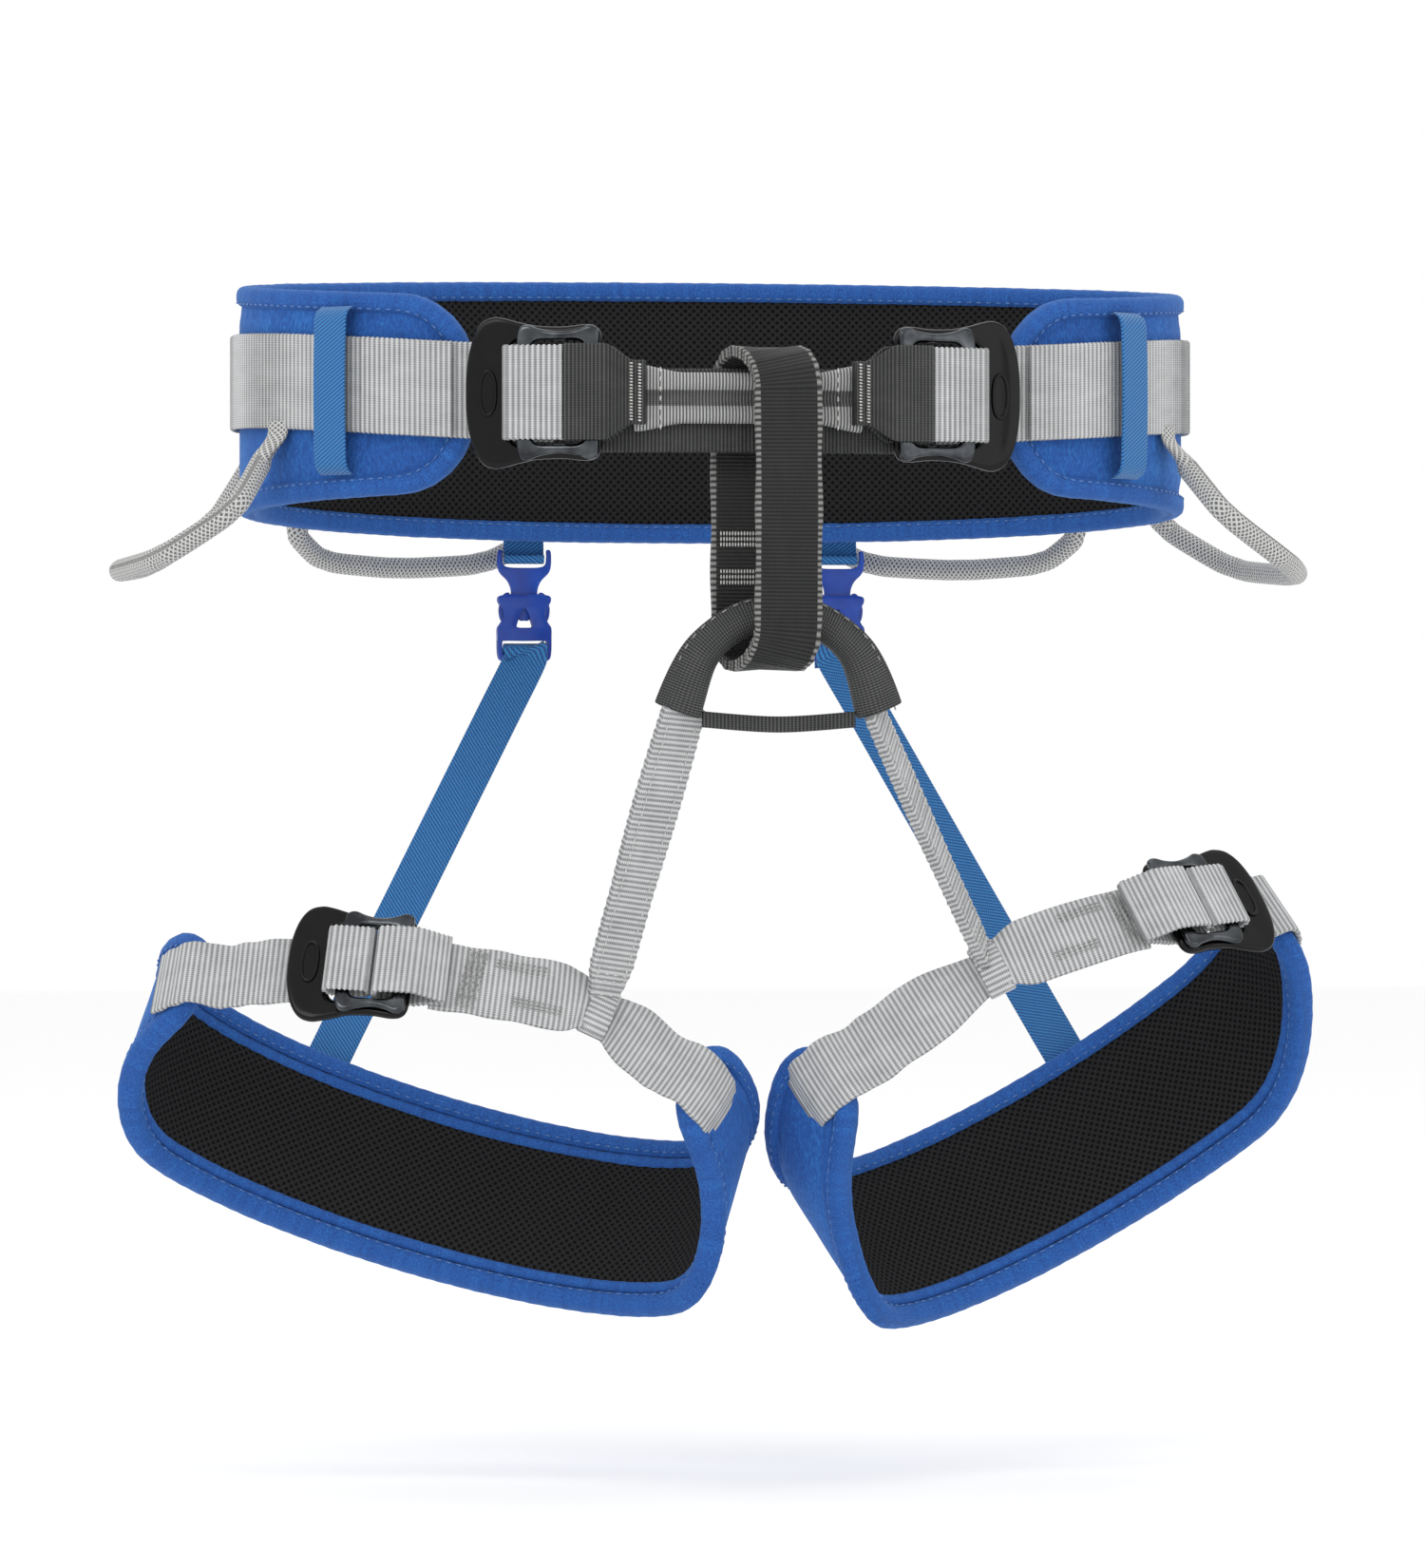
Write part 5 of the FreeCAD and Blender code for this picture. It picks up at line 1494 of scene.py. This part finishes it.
    # rear elastic: through the clip's bar, down to a folded end tacked on the pad's top edge
    psi = leg["elastic"]
    top_edge = leg_edges(leg)(psi, 0.0)[1]
    foot = at(psi, PAD_T + 2.4, top_edge - 9.0)
    knee = at(psi, PAD_T + 2.9, top_edge + 1.5)
    tail = [Vector((leg["side"] * CLIP_X, CLIP_Y + y, CLIP_TOP - 45.6 + z))
            for y, z in ((4.4, -4.0), (4.3, 1.6), (0.0, 5.4), (-4.1, 3.0), (-4.3, -1.0))]
    top = tail[-1].lerp(knee, 0.16)
    route = curve_points(tail + [top, top.lerp(knee, 0.5) + Vector((0, 1.5, 0)), knee, foot], 1.5)
    elastic_places = frames(route, (1, 0, 0))
    elastic = strap("rear_elastic_" + side_name, elastic_places, 18.0, 1.5, TAPE, cells=6)
    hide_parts("elastic_riser_" + side_name)
    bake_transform(elastic)
    lines = [[p + wide * x + out * face for x in steps(-6.8, 6.8, 16)]
             for p, wide, out in elastic_places[-2:-8:-1] for face in (1.1, -1.1)]
    keep(stitched("rear_elastic_tack_" + side_name, lines, BLUE_THREAD, 1.6, 0.5), body, "blue_tape")

    clip_halves(side_name, leg["side"])

# ---- clip tapes -----------------------------------------------------------------------------------
for side_name, side in SIDES.items():
    x, y, z = side * CLIP_X, CLIP_Y, CLIP_TOP
    ring = [(y - 1.6, z - 2.0), (y - 1.3, z - 4.2), (y, z - 5.2), (y + 1.3, z - 4.2), (y + 1.6, z - 2.0),
            (y + 2.4, z + 4.0), (y + 5.4, z + 8.0), (y + 5.6, z + 10.0)]
    route = curve_points([(x, yy, zz) for yy, zz in ring], 0.8)
    tape = strap("clip_tape_" + side_name, frames(route, (1, 0, 0)), 17.0, 1.2, TAPE, cells=6)
    keep(tape, "waist_belt", "blue_tape", *(["clip_tapes"] if side_name == "right" else []))

# ---- gear loops -----------------------------------------------------------------------------------
GEAR_R = 4.4
CORD_ANGLES = [TAU * k / 16 for k in range(16)]
GEAR_OFFSET = WEB_OFFSET + 2 * (WEB_T + GAP) + GEAR_R + 1.0
# for each loop: its two ends' waist angles, their height, how far out and how far down it hangs
GEAR = {"front": (68.0, 112.0, -27.0, 38.0, 42.0), "rear": (128.0, 160.0, -38.0, 10.0, 26.0)}


def sewn_end(name, phi, low):
    """A gear loop's end, from the ball of its bend up to where it is sewn flat under the webbing's edge."""
    high = web_z(abs(phi)) - WEB_W / 2.0 + 3.0
    around_belt = (waist(phi + 1.0, GEAR_OFFSET, 0) - waist(phi - 1.0, GEAR_OFFSET, 0)).normalized()
    out = (waist(phi, GEAR_OFFSET, 0) - waist(phi, 0, 0)).normalized()
    rings, uvs = [], []
    for a in (80.0, 60.0, 40.0, 20.0):
        rise, r = -GEAR_R * math.sin(math.radians(a)), 0.98 * GEAR_R * math.cos(math.radians(a))
        rings.append((rise, GEAR_OFFSET, r, r))
    for t in steps(0.0, 1.0, 16):
        rings.append(((high - low) * t, mix(GEAR_OFFSET, WEB_OFFSET + 1.2, smooth(t * 1.3)),
                      0.98 * mix(GEAR_R, 6.4, smooth(t * 1.5)), 0.98 * mix(GEAR_R, 1.3, smooth(t * 1.2))))
    for rise, offset, wide, deep in rings:
        uvs.append([(rise, a * GEAR_R) for a in CORD_ANGLES])
    rings = [[waist(phi, offset, low + rise) + around_belt * (wide * math.cos(a)) + out * (deep * math.sin(a))
              for a in CORD_ANGLES] for rise, offset, wide, deep in rings]
    keep(loft(name, rings, uvs, SHEATH), "waist_belt", "cord_sheath")


for place, (phi0, phi1, z, out, drop) in GEAR.items():
    for side_name, side in SIDES.items():
        points = []
        for f, o, d in ((0, 0, 0), (-0.08, 0.55, 0.45), (0.12, 1, 0.92), (0.5, 1.06, 1), (0.88, 1, 0.92),
                        (1.08, 0.55, 0.45), (1, 0, 0)):
            points.append(waist(side * (phi0 + (phi1 - phi0) * f), GEAR_OFFSET + out * o, z - drop * d))
        rounded = [points[0]]
        for i in range(1, len(points) - 1):
            before, here, after = points[i - 1], points[i], points[i + 1]
            for t in (0.25, 0.5, 0.75):
                a, b = here.lerp(before, 0.45), here.lerp(after, 0.45)
                rounded.append(a.lerp(here, t).lerp(here.lerp(b, t), t))
        rounded.append(points[-1])
        route = curve_points(rounded, 1.6)
        rings, uvs = [], []
        wide = Vector((0, 0, 1))
        for i, (p, along) in enumerate(zip(route, travelled(route))):
            run = (route[min(i + 1, len(route) - 1)] - route[max(i - 1, 0)]).normalized()
            wide = (wide - run * wide.dot(run)).normalized()
            other = run.cross(wide)
            rings.append([p + (wide * math.cos(a) + other * math.sin(a)) * GEAR_R for a in CORD_ANGLES])
            uvs.append([(along, a * GEAR_R) for a in CORD_ANGLES])
        name = "gear_loop_%s_%s" % (place, side_name)
        loop = loft(name + "_sheath", rings, uvs, SHEATH)
        keep(loop, frame["nodes"][name]["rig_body"], "cord_sheath", name)
        for number, phi in enumerate((phi0, phi1)):
            sewn_end("%s_sewn_end_%d" % (name, number + 1), side * phi, z)

# ---- floor, light and camera ----------------------------------------------------------------------
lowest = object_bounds()[0].z
FLOOR_DROP = 0.06                           # metres: room for the leg loops to swing above the floor
bpy.ops.mesh.primitive_plane_add(size=14.0, location=(0, 0, lowest - FLOOR_DROP))
floor = bpy.context.object
floor.name = "floor"
floor_paint, _, floor_shader = finish("matt_white_floor", 0.9)
floor_shader.inputs["Base Color"].default_value = srgb("#fbfbfb")
floor.data.materials.append(floor_paint)


def softbox(name, place, target, size, power):
    """A large square lamp with a soft edge to its shadows, in metres and watts."""
    light = bpy.data.lights.new(name, "AREA")
    light.shape, light.size, light.size_y, light.energy = "RECTANGLE", size, size, power
    obj = link(name, light)
    obj.location = place
    obj.rotation_euler = (Vector(target) - Vector(place)).to_track_quat("-Z", "Y").to_euler()
    return obj


middle_point = (0, 0, -0.15)
softbox("key_light", (-1.6, -2.2, 1.5), middle_point, 1.4, 17)
softbox("fill_light", (2.0, -1.8, 0.6), middle_point, 1.8, 7)
softbox("top_light", (0.2, 0.4, 2.2), middle_point, 2.0, 9)
world = bpy.data.worlds.new("studio")
world.use_nodes = True
world.node_tree.nodes["Background"].inputs[0].default_value = (1, 1, 1, 1)
world.node_tree.nodes["Background"].inputs[1].default_value = 1.0
bpy.context.scene.world = world
bpy.context.scene.view_settings.view_transform = "Standard"

camera = bpy.data.cameras.new("camera")
camera.lens, camera.sensor_width, camera.sensor_fit = 168.0, 36.0, "AUTO"
camera_object = link("camera", camera)
turn = math.radians(-7.0)
target = Vector((0, 0, -0.155))
camera_object.location = target + Vector((math.sin(turn), -math.cos(turn), 0)) * 3.0
camera_object.rotation_euler = (target - camera_object.location).to_track_quat("-Z", "Y").to_euler()
bpy.context.scene.camera = camera_object
